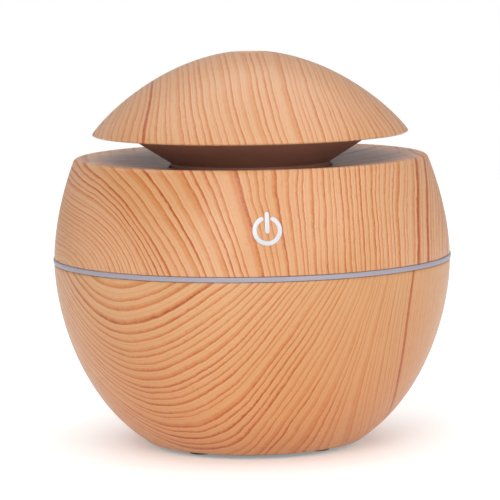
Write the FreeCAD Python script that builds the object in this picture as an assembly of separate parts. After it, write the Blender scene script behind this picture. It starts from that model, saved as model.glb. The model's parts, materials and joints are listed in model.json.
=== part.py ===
import FreeCAD, Part
import math
import os

from FreeCAD import Placement, Rotation, Vector

# Ultrasonic essential oil diffuser: a wood-grain globe with a lift-off mushroom cap.
# Units are millimetres. +Z is up, the origin is the centre of the footprint on the table, the power symbol
# faces -Y and the power inlet faces +Y. Angles are degrees about +Z, counted from +X.

# ---------------------------------------------------------------- overall sizes
body_radius = 50.0        # widest radius of the wood-grain globe
lower_height = 45.5       # lower shell, from its bottom edge to the light ring
upper_height = 24.85      # upper shell, from the light ring to its rim
rim_radius = 44.4         # radius that the upper shell narrows to at its rim
cap_radius = 40.0         # widest radius of the mushroom cap
cap_height = 20.85        # cap, from its lower edge to the point of its dome
cap_lift_off = 5.65       # the cap's lower edge above the rim
dish_depth = 2.4          # how far the top of the upper shell falls towards the neck

# shape of the outlines, as powers: 2 and 2 would be an ellipse
lower_round_r, lower_round_z = 2.6, 1.78
upper_round = 1.83
dome_round_r, dome_round_z = 1.9, 1.15

# ---------------------------------------------------------------- walls and small clearances
shell_wall = 2.0
dome_wall = 1.8
cover_wall = 1.6
funnel_wall = 1.2
tank_wall = 1.6
tank_floor = 2.0
part_gap = 0.2            # loose clearance between moulded pieces
screw_gap = 0.05          # between a screw's shank and the plastic that it bites
edge_bevel = 0.35
lower_bevel = 0.5         # on the lower shell's top edge, under the light ring
rim_round = 1.2

# ---------------------------------------------------------------- base
foot_proud = 0.8
foot_radius = 3.1
foot_sink = 0.4
foot_circle = 20.5
plate_thickness = 1.6
plate_proud = 0.6         # the base plate's edge that shows below the shell
plate_ledge = 4.0         # the plate overlaps the shell's opening by this much
shell_lip = 2.4           # flat bottom edge of the shell, outside the plate
ledge_thickness = 1.8
spigot_wall = 0.9
fan_pad_radius = 2.4
vent_slots = 12
vent_slot_width = 1.6
vent_inner, vent_outer = 4.5, 10.8
base_screws = 4

# ---------------------------------------------------------------- light ring and tank
ring_tooth = 1.25         # height of the glowing band that shows
ring_proud = 0.25
ring_leg = 1.4            # thickness of the ring's hidden leg
ring_leg_down, ring_leg_up = 3.9, 2.85
tank_radius = 41.5        # outside of the tank's wall
tank_depth = 36.6         # from the tank's rim down to its floor
tank_corner = 3.0         # rounding between the tank's wall and its floor
wire_notch = 4.0          # half the width of the gap at the front for the touch key's leads
lamp_notch = 2.5          # half the width of the notch for the lamps' leads
fill_below_collar = 3.0   # the fill line, which marks about 130 ml, under the collar's lower edge
flange_thickness = 1.5
flange_below_ring = 4.4
gasket_height = 0.8
channel_rib = 0.7
boss_radius = 2.2
boss_count = 3
vent_tube_wall = 1.3
vent_tube_above_fill = 4.0
vent_tube_angle = 45.0
hood_room = 2.25          # from the air tube's hood to the collar and to the tank's wall
hood_wall = 0.9
hood_fit = 0.05
hood_clip, hood_slot = 2.0, 1.6   # height of the hood's clip, and of the open slot under its roof
lid_gap = 0.15            # above the gasket's seat in the upper shell

# ---------------------------------------------------------------- screws
pilot_radius = 0.9        # holes that the small screws bite into
base_pilot_radius = 1.1   # holes that the base's screws bite into
hole_radius = 1.1         # holes that a small screw passes through
flange_hole_radius = 1.3
tip_gap = 0.2             # from a screw's tip to the bottom of its hole
# each screw's head, as its radius and height, and the length under it
tank_screw_head, tank_screw_length = (2.0, 1.4), 12.0
base_screw_head, base_screw_length = (2.1, 1.5), 11.0
retainer_screw_head, retainer_screw_length = (1.8, 1.2), 5.2
board_screw_head, board_screw_bite = (2.0, 1.3), 5.5
fan_screw_head, fan_screw_bite = (1.9, 1.2), 1.4

# ---------------------------------------------------------------- cap
neck_radius = 20.1
neck_wall = 1.8
neck_show = 0.95          # straight neck that shows above the dish
neck_depth = 6.5          # straight neck that goes into the collar
neck_gap = 0.6
cone_slope = 0.634        # rise of the cap's underside for each millimetre outwards
seat_gap = 0.1
seal_section = 0.55
seal_gap = 0.15
outlet_radius = 4.6
outlet_bevel = 0.5
cap_rib = 0.5
collar_wall = 1.8
collar_ledge = 1.8
ledge_height = 1.5

# ---------------------------------------------------------------- ultrasonic unit
piezo_radius = 8.0
piezo_thickness = 0.7
seal_radius = 9.8
seal_height = 2.1
seal_cover = 1.1          # the silicone covers this much of the disc's edge
piezo_drop = 3.8          # conical well below the tank's floor
retainer_radius = 14.0
retainer_thickness = 1.8
retainer_screw_circle = 12.1
retainer_screws = 3

# ---------------------------------------------------------------- fan
fan_size = 25.0
fan_thickness = 7.0
fan_bore = 11.3
fan_stand = 0.8
fan_hole_pitch = 20.0
fan_blades = 7
hub_radius = 6.0
shaft_radius = 0.75
shaft_clearance = 0.04

# ---------------------------------------------------------------- main board and inlet
board_edge_gap = 2.5      # board to the inside of the shell
board_thickness = 1.6
board_hole = 9.0
board_above_fan = 3.8
board_post_circle = 26.5
board_posts = 3
board_post_radius = 2.6
socket_width, socket_length = 9.0, 11.0
socket_axis_up = 4.7      # barrel's axis above the board
socket_nose_radius = 4.0
socket_bore, socket_depth = 2.9, 9.5
socket_pin = 1.0
inlet_recess = 5.2        # radius of the round recess around the inlet
inlet_wall = 2.0
nose_proud = 0.6

# ---------------------------------------------------------------- touch key
symbol_up = 10.9          # centre of the power symbol above the light ring
symbol_radius = 3.0       # middle of the stroke
symbol_stroke = 1.1
symbol_gap_angle = 27.0   # from straight up to the end of the arc
symbol_bar_top, symbol_bar_bottom = 3.8, -0.15
symbol_depth = 0.4
symbol_proud = 0.12
touch_width, touch_height, touch_thickness = 12.0, 11.0, 0.9
touch_behind = 1.4        # board to tank wall
spring_radius, spring_wire, spring_turns = 2.2, 0.25, 3
wire_radius = 0.6

# ================================================================ heights that follow
plate_bottom = foot_proud
shell_bottom = plate_bottom + plate_proud
plate_top = plate_bottom + plate_thickness
ledge_top = plate_top + ledge_thickness
ring_bottom = shell_bottom + lower_height
ring_top = ring_bottom + ring_tooth
rim_z = ring_top + upper_height
cap_edge = rim_z + cap_lift_off

fan_bottom = plate_top + fan_stand
fan_top = fan_bottom + fan_thickness
board_bottom = fan_top + board_above_fan
board_top = board_bottom + board_thickness
socket_z = board_top + socket_axis_up

# the posts stand clear of both the fan and the retainer
post_radius = 2.8
post_gap = 0.7
post_circle = max(retainer_radius, fan_size / 2) + post_gap + post_radius
opening_radius = post_circle + post_radius + post_gap
plate_radius = opening_radius + plate_ledge
shell_bottom_radius = plate_radius + part_gap + shell_lip

collar_bore = neck_radius + neck_gap
dish_inner_z = rim_z - dish_depth
neck_bottom = dish_inner_z - neck_depth
cone_bottom = dish_inner_z + neck_show
collar_bottom = neck_bottom - seat_gap - ledge_height
neck_inner = neck_radius - neck_wall

flange_top = ring_bottom - flange_below_ring + flange_thickness
flange_bottom = flange_top - flange_thickness
led_board_thickness = 1.2
led_board_top = flange_top + led_board_thickness
fill_z = collar_bottom - fill_below_collar
vent_tube_top = fill_z + vent_tube_above_fill
symbol_z = ring_top + symbol_up

boss_angles = [90.0 + 360.0 * i / boss_count for i in range(boss_count)]
post_angles = [360.0 * i / base_screws for i in range(base_screws)]
foot_angles = [45.0 + a for a in post_angles]
board_angles = [30.0 + 360.0 * i / board_posts for i in range(board_posts)]
retainer_angles = [113.0 + 360.0 * i / retainer_screws for i in range(retainer_screws)]
led_angles = [60.0 * i for i in range(6)]
led_wire_angle = 225.0

OUT = "parts"
Z_AXIS = Vector(0, 0, 1)
ORIGIN = Vector(0, 0, 0)


# ================================================================ outlines
def lower_radius(z):
    """Outside radius of the lower shell at height z."""
    full = lower_height / (1 - (shell_bottom_radius / body_radius) ** lower_round_r) ** (1 / lower_round_z)
    share = min(max((ring_bottom - z) / full, 0.0), 0.999)
    return body_radius * (1 - share ** lower_round_z) ** (1 / lower_round_r)


def upper_radius(z):
    """Outside radius of the upper shell at height z."""
    share = max((z - ring_bottom) / (rim_z - ring_bottom), 0.0)
    return body_radius - (body_radius - rim_radius) * share ** upper_round


def dome_radius(z):
    """Outside radius of the cap's dome at height z."""
    share = min(max((z - cap_edge) / cap_height, 0.0), 1.0)
    return cap_radius * (1 - share ** dome_round_z) ** (1 / dome_round_r)


def dome_height(r):
    """Height of the outside of the cap's dome at radius r."""
    return cap_edge + cap_height * (1 - (r / cap_radius) ** dome_round_r) ** (1 / dome_round_z)


def dish_height(r):
    """Height of the sloping top of the upper shell at radius r."""
    outer = rim_radius - rim_round
    return rim_z - dish_depth * (outer - r) / (outer - collar_bore)


def cone_height(r):
    """Height of the cap's conical underside at radius r."""
    return cone_bottom + cone_slope * (r - neck_radius)


def inset(outline, z, depth):
    """The point (r, z) that lies depth inside an outline, measured square to it."""
    step = 0.01
    dr = (outline(z + step) - outline(z - step)) / (2 * step)
    length = math.hypot(1, dr)
    return outline(z) - depth / length, z + depth * dr / length


def inner_radius(outline, z, depth):
    """Radius at height z of the surface that lies depth inside an outline."""
    low, high = z - 4 * depth, z + 4 * depth
    for _ in range(40):
        middle = (low + high) / 2
        if inset(outline, middle, depth)[1] < z:
            low = middle
        else:
            high = middle
    return inset(outline, (low + high) / 2, depth)[0]


def steps(first, last, count):
    return [first + (last - first) * i / (count - 1) for i in range(count)]


# ---------------------------------------------------------------- fits against the insides of the shells
tank_inner = tank_radius - tank_wall
channel_top = dish_height(tank_inner - 1.0) - shell_wall - lid_gap
tank_top = channel_top - gasket_height
tank_floor_z = tank_top - tank_depth
tank_under = tank_floor_z - tank_floor
well_z = tank_floor_z - piezo_drop
piezo_seat = well_z - 1.2
retainer_top = piezo_seat - seal_height - 0.4
vent_tube_circle = (collar_bore + collar_wall + tank_inner) / 2
hood_radius = (tank_inner - collar_bore - collar_wall) / 2 - hood_room
vent_tube_radius = hood_radius - hood_wall - hood_fit
leg_outer = min(inner_radius(lower_radius, ring_bottom - ring_leg_down, shell_wall),
                inner_radius(upper_radius, ring_top + ring_leg_up, shell_wall)) - part_gap
led_board_outer = leg_outer - ring_leg - 0.3
boss_circle = led_board_outer - boss_radius
board_radius = inner_radius(lower_radius, board_bottom, shell_wall) - board_edge_gap


# ================================================================ building blocks
def at(radius, angle):
    a = math.radians(angle)
    return radius * math.cos(a), radius * math.sin(a)


def revolve(outline):
    """Solid of revolution about Z. A tuple is a corner, and a list of tuples is a smooth curve."""
    edges, last, first = [], None, None
    for item in outline:
        points = item if isinstance(item, list) else [item]
        vectors = [Vector(r, 0, z) for r, z in points]
        if last is not None and last.distanceToPoint(vectors[0]) > 1e-6:
            edges.append(Part.makeLine(last, vectors[0]))
        if len(vectors) > 1:
            curve = Part.BSplineCurve()
            curve.interpolate(vectors)
            edges.append(curve.toShape())
        first = first or vectors[0]
        last = vectors[-1]
    if last.distanceToPoint(first) > 1e-6:
        edges.append(Part.makeLine(last, first))
    face = Part.Face(Part.Wire(edges))
    return face.revolve(ORIGIN, Z_AXIS, 360)


def disc(radius, z0, z1, x=0.0, y=0.0):
    return Part.makeCylinder(radius, z1 - z0, Vector(x, y, z0))


def tube(outer, inner, z0, z1, x=0.0, y=0.0):
    return disc(outer, z0, z1, x, y).cut(disc(inner, z0, z1, x, y))


def block(x0, x1, y0, y1, z0, z1):
    return Part.makeBox(x1 - x0, y1 - y0, z1 - z0, Vector(x0, y0, z0))


def turned(shape, angle, x=0.0, y=0.0):
    copy = shape.copy()
    copy.rotate(Vector(x, y, 0), Z_AXIS, angle)
    return copy


def joined(shapes):
    whole = shapes[0].multiFuse(shapes[1:])
    return whole.removeSplitter()


def without(shape, tools):
    return shape.cut(Part.makeCompound(tools)) if tools else shape


def along_y(radius, y0, y1, x, z):
    return Part.makeCylinder(radius, y1 - y0, Vector(x, y0, z), Vector(0, 1, 0))


def discs(radius, z0, z1, circle, angles):
    """Equal discs on a circle about the axis."""
    return [disc(radius, z0, z1, *at(circle, angle)) for angle in angles]


def screw(x, y, seat_z, head_size, shank_radius, length, up=True):
    """A pan-head screw with a cross recess. Its head's underside is at seat_z, and it points up or down."""
    head_radius, head_height = head_size
    head = Part.makeCylinder(head_radius, head_height, Vector(0, 0, -head_height))
    head = head.makeChamfer(head_height * 0.3, [head.Edges[2]])
    shank = Part.makeCylinder(shank_radius, length - shank_radius)
    tip_z = length - shank_radius
    tip = Part.makeCone(shank_radius, shank_radius * 0.35, shank_radius, Vector(0, 0, tip_z))
    depth, width, reach = head_height * 0.5, head_radius * 0.26, head_radius * 0.62
    slots = [block(-reach, reach, -width / 2, width / 2, -head_height, -head_height + depth),
             block(-width / 2, width / 2, -reach, reach, -head_height, -head_height + depth)]
    body = without(joined([head, shank, tip]), slots)
    if not up:
        body.rotate(ORIGIN, Vector(1, 0, 0), 180)
    body.translate(Vector(x, y, seat_z))
    return body


def screws(circle, angles, seat_z, head_size, shank_radius, length, up=True):
    """Equal screws on a circle about the axis."""
    return Part.makeCompound([screw(*at(circle, angle), seat_z, head_size, shank_radius, length, up)
                              for angle in angles])


def wire(points, radius):
    """A round lead along straight runs joined by tangent arcs."""
    corners = [Vector(*p) for p in points]
    edges, start = [], corners[0]
    for before, corner, after in zip(corners, corners[1:], corners[2:]):
        back, ahead = before - corner, after - corner
        turn = math.pi - back.getAngle(ahead)
        bend = 0.45 * min(back.Length, ahead.Length) / math.tan(turn / 2)
        reach = bend * math.tan(turn / 2)
        back.normalize()
        ahead.normalize()
        enter, leave = corner + back * reach, corner + ahead * reach
        bisector = (back + ahead).normalize()
        middle = corner + bisector * (bend / math.cos(turn / 2) - bend)
        edges.append(Part.makeLine(start, enter))
        edges.append(Part.Arc(enter, middle, leave).toShape())
        start = leave
    edges.append(Part.makeLine(start, corners[-1]))
    path = Part.Wire(edges)
    section = Part.Wire(Part.makeCircle(radius, corners[0], corners[1] - corners[0]))
    return path.makePipeShell([section], True, True)


def wires(points, count, spacing, direction):
    """Parallel leads, side by side along direction."""
    made = []
    for i in range(count):
        shift = Vector(*direction) * (spacing * (i - (count - 1) / 2))
        made.append(wire([tuple(Vector(*p) + shift) for p in points], wire_radius))
    return Part.makeCompound(made)


def save(name, shape):
    solids = shape.Solids
    assert solids, name + " has no solid"
    made = solids[0] if len(solids) == 1 else Part.makeCompound(solids)
    assert all(s.isValid() for s in solids), name + " is not valid"
    made.exportStep(os.path.join(OUT, name + ".step"))


# ================================================================ cap
def cap_dome():
    """Wood-grain dome with the mist outlet in its top, and a snap rib that holds the inner cover."""
    inner_z = steps(cap_edge, inset_top(), 8)
    outside = [(dome_radius(z), z) for z in outer_steps()]
    inside = [(inner_radius(dome_radius, z, dome_wall), z) for z in inner_z]
    hole_z = dome_height(outlet_radius + outlet_bevel)
    shell = revolve([
        (cap_radius - edge_bevel * 2, cap_edge),
        outside,
        (outlet_radius, hole_z - outlet_bevel),
        (outlet_radius, inside[-1][1]),
        list(reversed(inside)),
    ])
    socket = tube(funnel_top_radius() + part_gap / 2 + funnel_wall, funnel_top_radius() + part_gap / 2,
                  funnel_neck_z() + 1.0, hole_z - dome_wall * 0.5)
    edge_r, edge_z = cover_edge()
    tip_r = edge_r - cap_rib
    wall_r = inner_radius(dome_radius, edge_z - cap_rib * 2, dome_wall)
    rib = revolve([(edge_r, edge_z), (tip_r, cone_height(tip_r)), (wall_r + 0.3, edge_z - cap_rib * 2),
                   (wall_r + 0.3, edge_z)])
    return joined([shell, socket, rib])


def inset_top():
    """Height where the dome's inside meets the outlet hole."""
    low, high = cap_edge, cap_edge + cap_height
    for _ in range(40):
        middle = (low + high) / 2
        if inner_radius(dome_radius, middle, dome_wall) > outlet_radius:
            low = middle
        else:
            high = middle
    return low


def outer_steps():
    """Heights along the dome, closer together towards its top."""
    hole_z = dome_height(outlet_radius + outlet_bevel)
    return [cap_edge + edge_bevel + (hole_z - cap_edge - edge_bevel) * math.sin(a)
            for a in steps(0.0, math.pi / 2, 12)]


def cover_edge():
    """Outer edge (r, z) of the inner cover, where the cone's underside meets the dome's inside."""
    low, high = neck_radius, cap_radius
    for _ in range(40):
        middle = (low + high) / 2
        if inner_radius(dome_radius, cone_height(middle), dome_wall) > middle + part_gap / 2:
            low = middle
        else:
            high = middle
    return low, cone_height(low)


def funnel_top_radius():
    return outlet_radius + funnel_wall


def funnel_neck_z():
    """Height where the funnel's cone turns into its straight top."""
    return dome_height(outlet_radius) - dome_wall - 4.5


def cap_inner_cover():
    """Brown cone under the dome, with the straight neck that drops into the collar."""
    edge_r, edge_z = cover_edge()
    tilt = math.atan(cone_slope)
    back_r, back_z = cover_wall * math.sin(tilt), cover_wall * math.cos(tilt)
    shoulder_r, shoulder_z = neck_radius - back_r, cone_bottom + back_z
    back_edge_r = edge_r - cover_wall
    lip_height = 2.6
    lip_r = inner_radius(dome_radius, edge_z + lip_height, dome_wall) - part_gap / 2
    groove_top = seal_z() + seal_section + seal_gap / 2
    groove_bottom = seal_z() - seal_section - seal_gap / 2
    groove_r = neck_radius + neck_gap - 2 * seal_section - 2 * seal_gap
    return revolve([
        (neck_inner, neck_bottom),
        (neck_radius - edge_bevel, neck_bottom),
        (neck_radius, neck_bottom + edge_bevel),
        (neck_radius, groove_bottom),
        (groove_r, groove_bottom),
        (groove_r, groove_top),
        (neck_radius, groove_top),
        (neck_radius, cone_bottom),
        (edge_r, edge_z),
        (lip_r, edge_z + lip_height),
        (lip_r - cover_wall, edge_z + lip_height),
        (back_edge_r, cone_height(back_edge_r) + cover_wall / math.cos(tilt)),
        (shoulder_r, shoulder_z),
        (neck_inner, shoulder_z),
    ])


def seal_z():
    return neck_bottom + neck_depth * 0.55


def neck_seal():
    """Silicone O-ring in the groove of the neck."""
    ring = Part.makeTorus(collar_bore - seal_gap - seal_section, seal_section)
    ring.translate(Vector(0, 0, seal_z()))
    return ring


def mist_funnel():
    """Tapered tube that carries the mist from the neck to the outlet."""
    tilt = math.atan(cone_slope)
    shoulder_z = cone_bottom + cover_wall * math.cos(tilt)
    fit_r = neck_inner - part_gap / 2
    flange_r = neck_radius - cover_wall * math.sin(tilt) - part_gap / 2
    top_z = inset_top() - part_gap * 2
    top_r = funnel_top_radius()
    return revolve([
        (fit_r - funnel_wall, shoulder_z - 2.4),
        (fit_r, shoulder_z - 2.4),
        (fit_r, shoulder_z),
        (flange_r, shoulder_z),
        (flange_r, shoulder_z + 0.8),
        (fit_r, shoulder_z + 0.8),
        (top_r, funnel_neck_z()),
        (top_r, top_z),
        (outlet_radius, top_z),
        (outlet_radius, funnel_neck_z()),
        (fit_r - funnel_wall, shoulder_z),
    ])


# ================================================================ upper shell and touch key
def symbol_prism(front, back):
    """The power symbol as a prism along Y, between y = -front and y = -back."""
    half = symbol_stroke / 2
    depth = front - back
    ring = along_y(symbol_radius + half, -front, -back, 0, symbol_z)
    ring = ring.cut(along_y(symbol_radius - half, -front, -back, 0, symbol_z))
    reach = symbol_radius * 2
    a = math.radians(symbol_gap_angle)
    wedge = Part.Face(Part.makePolygon([
        Vector(0, -front, symbol_z),
        Vector(reach * math.tan(a), -front, symbol_z + reach),
        Vector(-reach * math.tan(a), -front, symbol_z + reach),
        Vector(0, -front, symbol_z)])).extrude(Vector(0, depth, 0))
    ring = ring.cut(wedge)
    end_x, end_z = symbol_radius * math.sin(a), symbol_z + symbol_radius * math.cos(a)
    ends = [along_y(half, -front, -back, x, end_z) for x in (-end_x, end_x)]
    top, bottom = symbol_z + symbol_bar_top, symbol_z + symbol_bar_bottom
    bar = [block(-half, half, -front, -back, bottom, top),
           along_y(half, -front, -back, 0, top), along_y(half, -front, -back, 0, bottom)]
    return Part.makeCompound([joined([ring] + ends), joined(bar)])


def power_symbol():
    """Metal-look inlay, flush in the shell and a little proud: it is the touch key's electrode."""
    zs = steps(symbol_z - 6, symbol_z + 6, 7)
    layer = revolve([[(upper_radius(z) + symbol_proud, z) for z in zs],
                     [(upper_radius(z) - symbol_depth, z) for z in reversed(zs)]])
    return symbol_prism(body_radius + 1, body_radius - 5).common(layer)


def symbol_pocket():
    zs = steps(symbol_z - 6, symbol_z + 6, 7)
    layer = revolve([[(upper_radius(z) + 1, z) for z in zs],
                     [(upper_radius(z) - symbol_depth, z) for z in reversed(zs)]])
    return symbol_prism(body_radius + 1, body_radius - 5).common(layer)


def upper_shell():
    """Upper half of the globe: side wall, sloping top, tank channel and three bosses."""
    side_top = rim_z - rim_round
    outside = [(upper_radius(z), z) for z in steps(ring_top + edge_bevel, side_top, 8)]
    inside_top = dish_height(rim_radius - rim_round) - shell_wall * 1.4
    inside = [(inner_radius(upper_radius, z, shell_wall), z) for z in steps(ring_top, inside_top, 7)]
    dish_outer = rim_radius - rim_round
    side_r = upper_radius(side_top)
    rim = [(side_r, side_top), (side_r - rim_round * 0.22, rim_z - rim_round * 0.3), (dish_outer, rim_z)]
    under_z = dish_height(inside[-1][0] - 1.0) - shell_wall
    shell = revolve([
        (upper_radius(ring_top) - edge_bevel, ring_top),
        outside,
        rim,
        (collar_bore + edge_bevel, dish_height(collar_bore + edge_bevel)),
        (collar_bore, dish_inner_z - edge_bevel),
        (collar_bore, dish_inner_z - shell_wall),
        (inside[-1][0] - 1.0, under_z),
        list(reversed(inside)),
    ])
    low, mid, high = tank_inner - 0.3, tank_radius + 0.3, dish_height(tank_inner) - shell_wall * 0.6
    channel = revolve([
        (low - channel_rib, tank_top - 1.2), (low, tank_top - 1.2), (low, channel_top),
        (mid, channel_top), (mid, tank_top - 1.2), (mid + channel_rib, tank_top - 1.2),
        (mid + channel_rib, high), (low - channel_rib, high)])
    pieces = [shell, channel]
    boss_top = tank_top - 2.0
    rib_bottom = ring_bottom + ring_tooth + ring_leg_up + 0.5
    wall_guide = revolve([(0, rib_bottom), [(inner_radius(upper_radius, z, shell_wall * 0.6), z)
                                            for z in steps(rib_bottom, boss_top, 6)], (0, boss_top)])
    for angle in boss_angles:
        x, y = at(boss_circle, angle)
        rib = turned(block(boss_circle, body_radius, -0.8, 0.8, rib_bottom, boss_top), angle)
        pieces += [disc(boss_radius, led_board_top, boss_top, x, y).common(boss_guide(boss_top)),
                   rib.common(wall_guide)]
    hole_top = flange_bottom + tank_screw_length + tip_gap
    holes = discs(pilot_radius, led_board_top, hole_top, boss_circle, boss_angles)
    return without(joined(pieces), holes + [symbol_pocket()])


def neck_collar():
    """Sleeve welded under the sloping top: the cap's neck slides in it and stands just above its ledge."""
    collar_r = collar_bore + collar_wall
    ledge_r = collar_bore - collar_ledge
    return revolve([
        (collar_bore, dish_inner_z - shell_wall),
        (collar_bore, neck_bottom - seat_gap),
        (ledge_r, neck_bottom - seat_gap),
        (ledge_r, collar_bottom),
        (collar_r, collar_bottom),
        (collar_r, dish_height(collar_r) - shell_wall),
    ])


def boss_guide(boss_top):
    """Keeps a boss inside the shell's outside face."""
    zs = steps(led_board_top, boss_top, 6)
    wall = [(inner_radius(upper_radius, max(z, ring_top), shell_wall * 0.6), z) for z in zs]
    return revolve([(0, zs[0]), wall, (0, zs[-1])])


def touch_centre_y():
    """Front face of the touch board."""
    return -(tank_radius + touch_behind + touch_thickness)


def touch_board():
    """Small board with the touch controller, held upright behind the symbol."""
    front = touch_centre_y()
    z0 = symbol_z - touch_height / 2
    board = block(-touch_width / 2, touch_width / 2, front, front + touch_thickness, z0, z0 + touch_height)
    chip = block(-1.4, 1.4, front + touch_thickness, front + touch_thickness + 0.7, z0 + 6.2, z0 + 8.2)
    return Part.makeCompound([board, chip])


def touch_spring():
    """Wire spring that carries the touch from the inside of the shell to the board."""
    front = touch_centre_y()
    reach = inner_radius(upper_radius, symbol_z, shell_wall)
    depth = math.sqrt(reach ** 2 - (spring_radius + spring_wire) ** 2)
    length = depth + front - 2 * spring_wire - 0.05
    turn = 2 * math.pi
    turns = steps(0.0, spring_turns, 12 * spring_turns + 1)
    path = Part.BSplineCurve()
    path.interpolate([Vector(spring_radius * math.cos(turn * t), spring_radius * math.sin(turn * t),
                             length * t / spring_turns) for t in turns])
    section = Part.Wire(Part.makeCircle(spring_wire, path.StartPoint, path.tangent(path.FirstParameter)[0]))
    coil = Part.Wire(path.toShape()).makePipeShell([section], True, True)
    coil.Placement = Placement(Vector(0, front - spring_wire, symbol_z), Rotation(Vector(1, 0, 0), 90))
    return coil


# ================================================================ light ring
def light_ring():
    """Frosted light guide: its tooth shows between the shells, and its leg locates both."""
    leg_in = leg_outer - ring_leg
    outer = body_radius + ring_proud
    soft = 0.25
    return revolve([
        (leg_in, ring_bottom - ring_leg_down),
        (leg_outer, ring_bottom - ring_leg_down),
        (leg_outer, ring_bottom),
        (outer - soft, ring_bottom),
        (outer, ring_bottom + soft),
        (outer, ring_top - soft),
        (outer - soft, ring_top),
        (leg_outer, ring_top),
        (leg_outer, ring_top + ring_leg_up),
        (leg_in, ring_top + ring_leg_up),
    ])


def led_board():
    """C-shaped board that carries the lamps, open at the front for the touch key's leads."""
    inner = tank_radius + 0.7
    ring = tube(led_board_outer, inner, flange_top, led_board_top)
    tools = discs(flange_hole_radius, flange_top, led_board_top, boss_circle, boss_angles)
    tools.append(block(-wire_notch, wire_notch, -led_board_outer - 1, 0, flange_top, led_board_top))
    return without(ring, tools)


def ring_leds():
    """Six lamps, each with a white body and a lens that faces the light ring."""
    inner = tank_radius + 1.2
    lamps = []
    for angle in led_angles:
        body = block(inner, inner + 2.2, -1.75, 1.75, led_board_top, led_board_top + 1.9)
        lens = along_y(0.7, -1.2, 1.2, inner + 2.2, led_board_top + 0.95)
        lamps.append(turned(joined([body, lens]), angle))
    return Part.makeCompound(lamps)


# ================================================================ tank
def water_tank():
    """Water bowl with a screw flange, air tube, board rails, ultrasonic well and four long posts."""
    corner = tank_corner
    bowl = revolve([
        (0, tank_under), (tank_radius, tank_under), (tank_radius, tank_top), (tank_inner, tank_top),
        [(tank_inner, tank_floor_z + corner), (tank_inner - corner * 0.3, tank_floor_z + corner * 0.3),
         (tank_inner - corner, tank_floor_z)],
        (0, tank_floor_z)])
    flange = tube(led_board_outer, tank_radius - 0.5, flange_bottom, flange_top)
    fill_line = tube(tank_inner + 0.2, tank_inner - 0.35, fill_z - 0.25, fill_z + 0.25)
    vent_x, vent_y = at(vent_tube_circle, vent_tube_angle)
    vent = disc(vent_tube_radius, tank_under, vent_tube_top, vent_x, vent_y)
    boss = disc(retainer_radius + 0.4, retainer_top, tank_under + 0.5)
    posts = discs(post_radius, post_bottom(), tank_under + 0.5, post_circle, post_angles)
    retainer_hole_top = retainer_top - retainer_thickness + retainer_screw_length + tip_gap
    post_hole_top = base_screw_seat() + base_screw_length + tip_gap
    rails = []
    front = touch_centre_y()
    half = touch_width / 2 + 0.15
    rail_z = symbol_z - touch_height / 2 - 1.2
    for side in (-1, 1):
        x_out, x_in = side * (half + 1.1), side * (half - 1.2)
        low, high = min(x_out, x_in), max(x_out, x_in)
        rails.append(block(low, high, front + touch_thickness, -tank_radius + 1.0, rail_z, rail_z + 9))
        low, high = min(x_out, side * half), max(x_out, side * half)
        rails.append(block(low, high, front, -tank_radius + 1.2, rail_z, rail_z + 9))
    whole = joined([bowl, flange, fill_line, vent, boss] + posts + rails)
    tools = [
        disc(vent_tube_radius - vent_tube_wall, tank_under, vent_tube_top, vent_x, vent_y),
        disc(seal_radius + 0.2, retainer_top, piezo_seat),
        disc(piezo_radius - seal_cover + 0.3, piezo_seat, well_z),
        Part.makeCone(piezo_radius - seal_cover + 0.3, retainer_radius - 1.5, tank_floor_z - well_z,
                      Vector(0, 0, well_z)),
        block(-wire_notch, wire_notch, -led_board_outer - 1, -tank_radius, flange_bottom, flange_top),
        turned(block(tank_radius, led_board_outer + 1, -lamp_notch, lamp_notch, flange_bottom, flange_top),
               led_wire_angle),
    ]
    tools += discs(flange_hole_radius, flange_bottom, flange_top, boss_circle, boss_angles)
    tools += discs(pilot_radius, retainer_top, retainer_hole_top, retainer_screw_circle, retainer_angles)
    tools += discs(base_pilot_radius, post_bottom(), post_hole_top, post_circle, post_angles)
    return without(whole, tools)


def post_bottom():
    """The tank's posts stand on the base plate's bosses."""
    return plate_top + 3.6


def tank_gasket():
    return tube(tank_radius + 0.2, tank_inner - 0.2, tank_top, channel_top)


def vent_hood():
    """Clips over the air tube, so that splashes can't run down it."""
    x, y = at(vent_tube_circle, vent_tube_angle)
    inner = vent_tube_radius + hood_fit
    clip_top = vent_tube_top - 0.4
    roof_z = vent_tube_top + hood_slot
    half = 0.8
    clip = tube(hood_radius, inner, clip_top - hood_clip, clip_top, x, y)
    roof = disc(hood_radius, roof_z, roof_z + hood_wall, x, y)
    ribs = []
    for i in range(3):
        rib_top = roof_z + 0.4
        outside = block(x + inner + 0.1, x + hood_radius - 0.2, y - half, y + half, clip_top - 1.0, rib_top)
        stop = block(x + inner - 1.0, x + inner + 0.5, y - half, y + half, vent_tube_top, rib_top)
        ribs += [turned(outside, 120 * i, x, y), turned(stop, 120 * i, x, y)]
    return joined([clip, roof] + ribs)


def tank_screws():
    return screws(boss_circle, boss_angles, flange_bottom, tank_screw_head, pilot_radius - screw_gap,
                  tank_screw_length)


# ================================================================ ultrasonic unit
def piezo_bottom():
    return piezo_seat - seal_height / 2 - piezo_thickness / 2


def piezo_disc():
    """Ceramic transducer with its steel face, and the small electrode under it."""
    face = disc(piezo_radius, piezo_bottom(), piezo_bottom() + piezo_thickness)
    electrode = disc(piezo_radius * 0.62, piezo_bottom() - 0.15, piezo_bottom())
    return joined([face, electrode])


def piezo_seal():
    """Silicone ring that wraps the edge of the disc."""
    ring = tube(seal_radius, piezo_radius - seal_cover, piezo_seat - seal_height, piezo_seat)
    return ring.cut(disc(piezo_radius, piezo_bottom(), piezo_bottom() + piezo_thickness))


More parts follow.
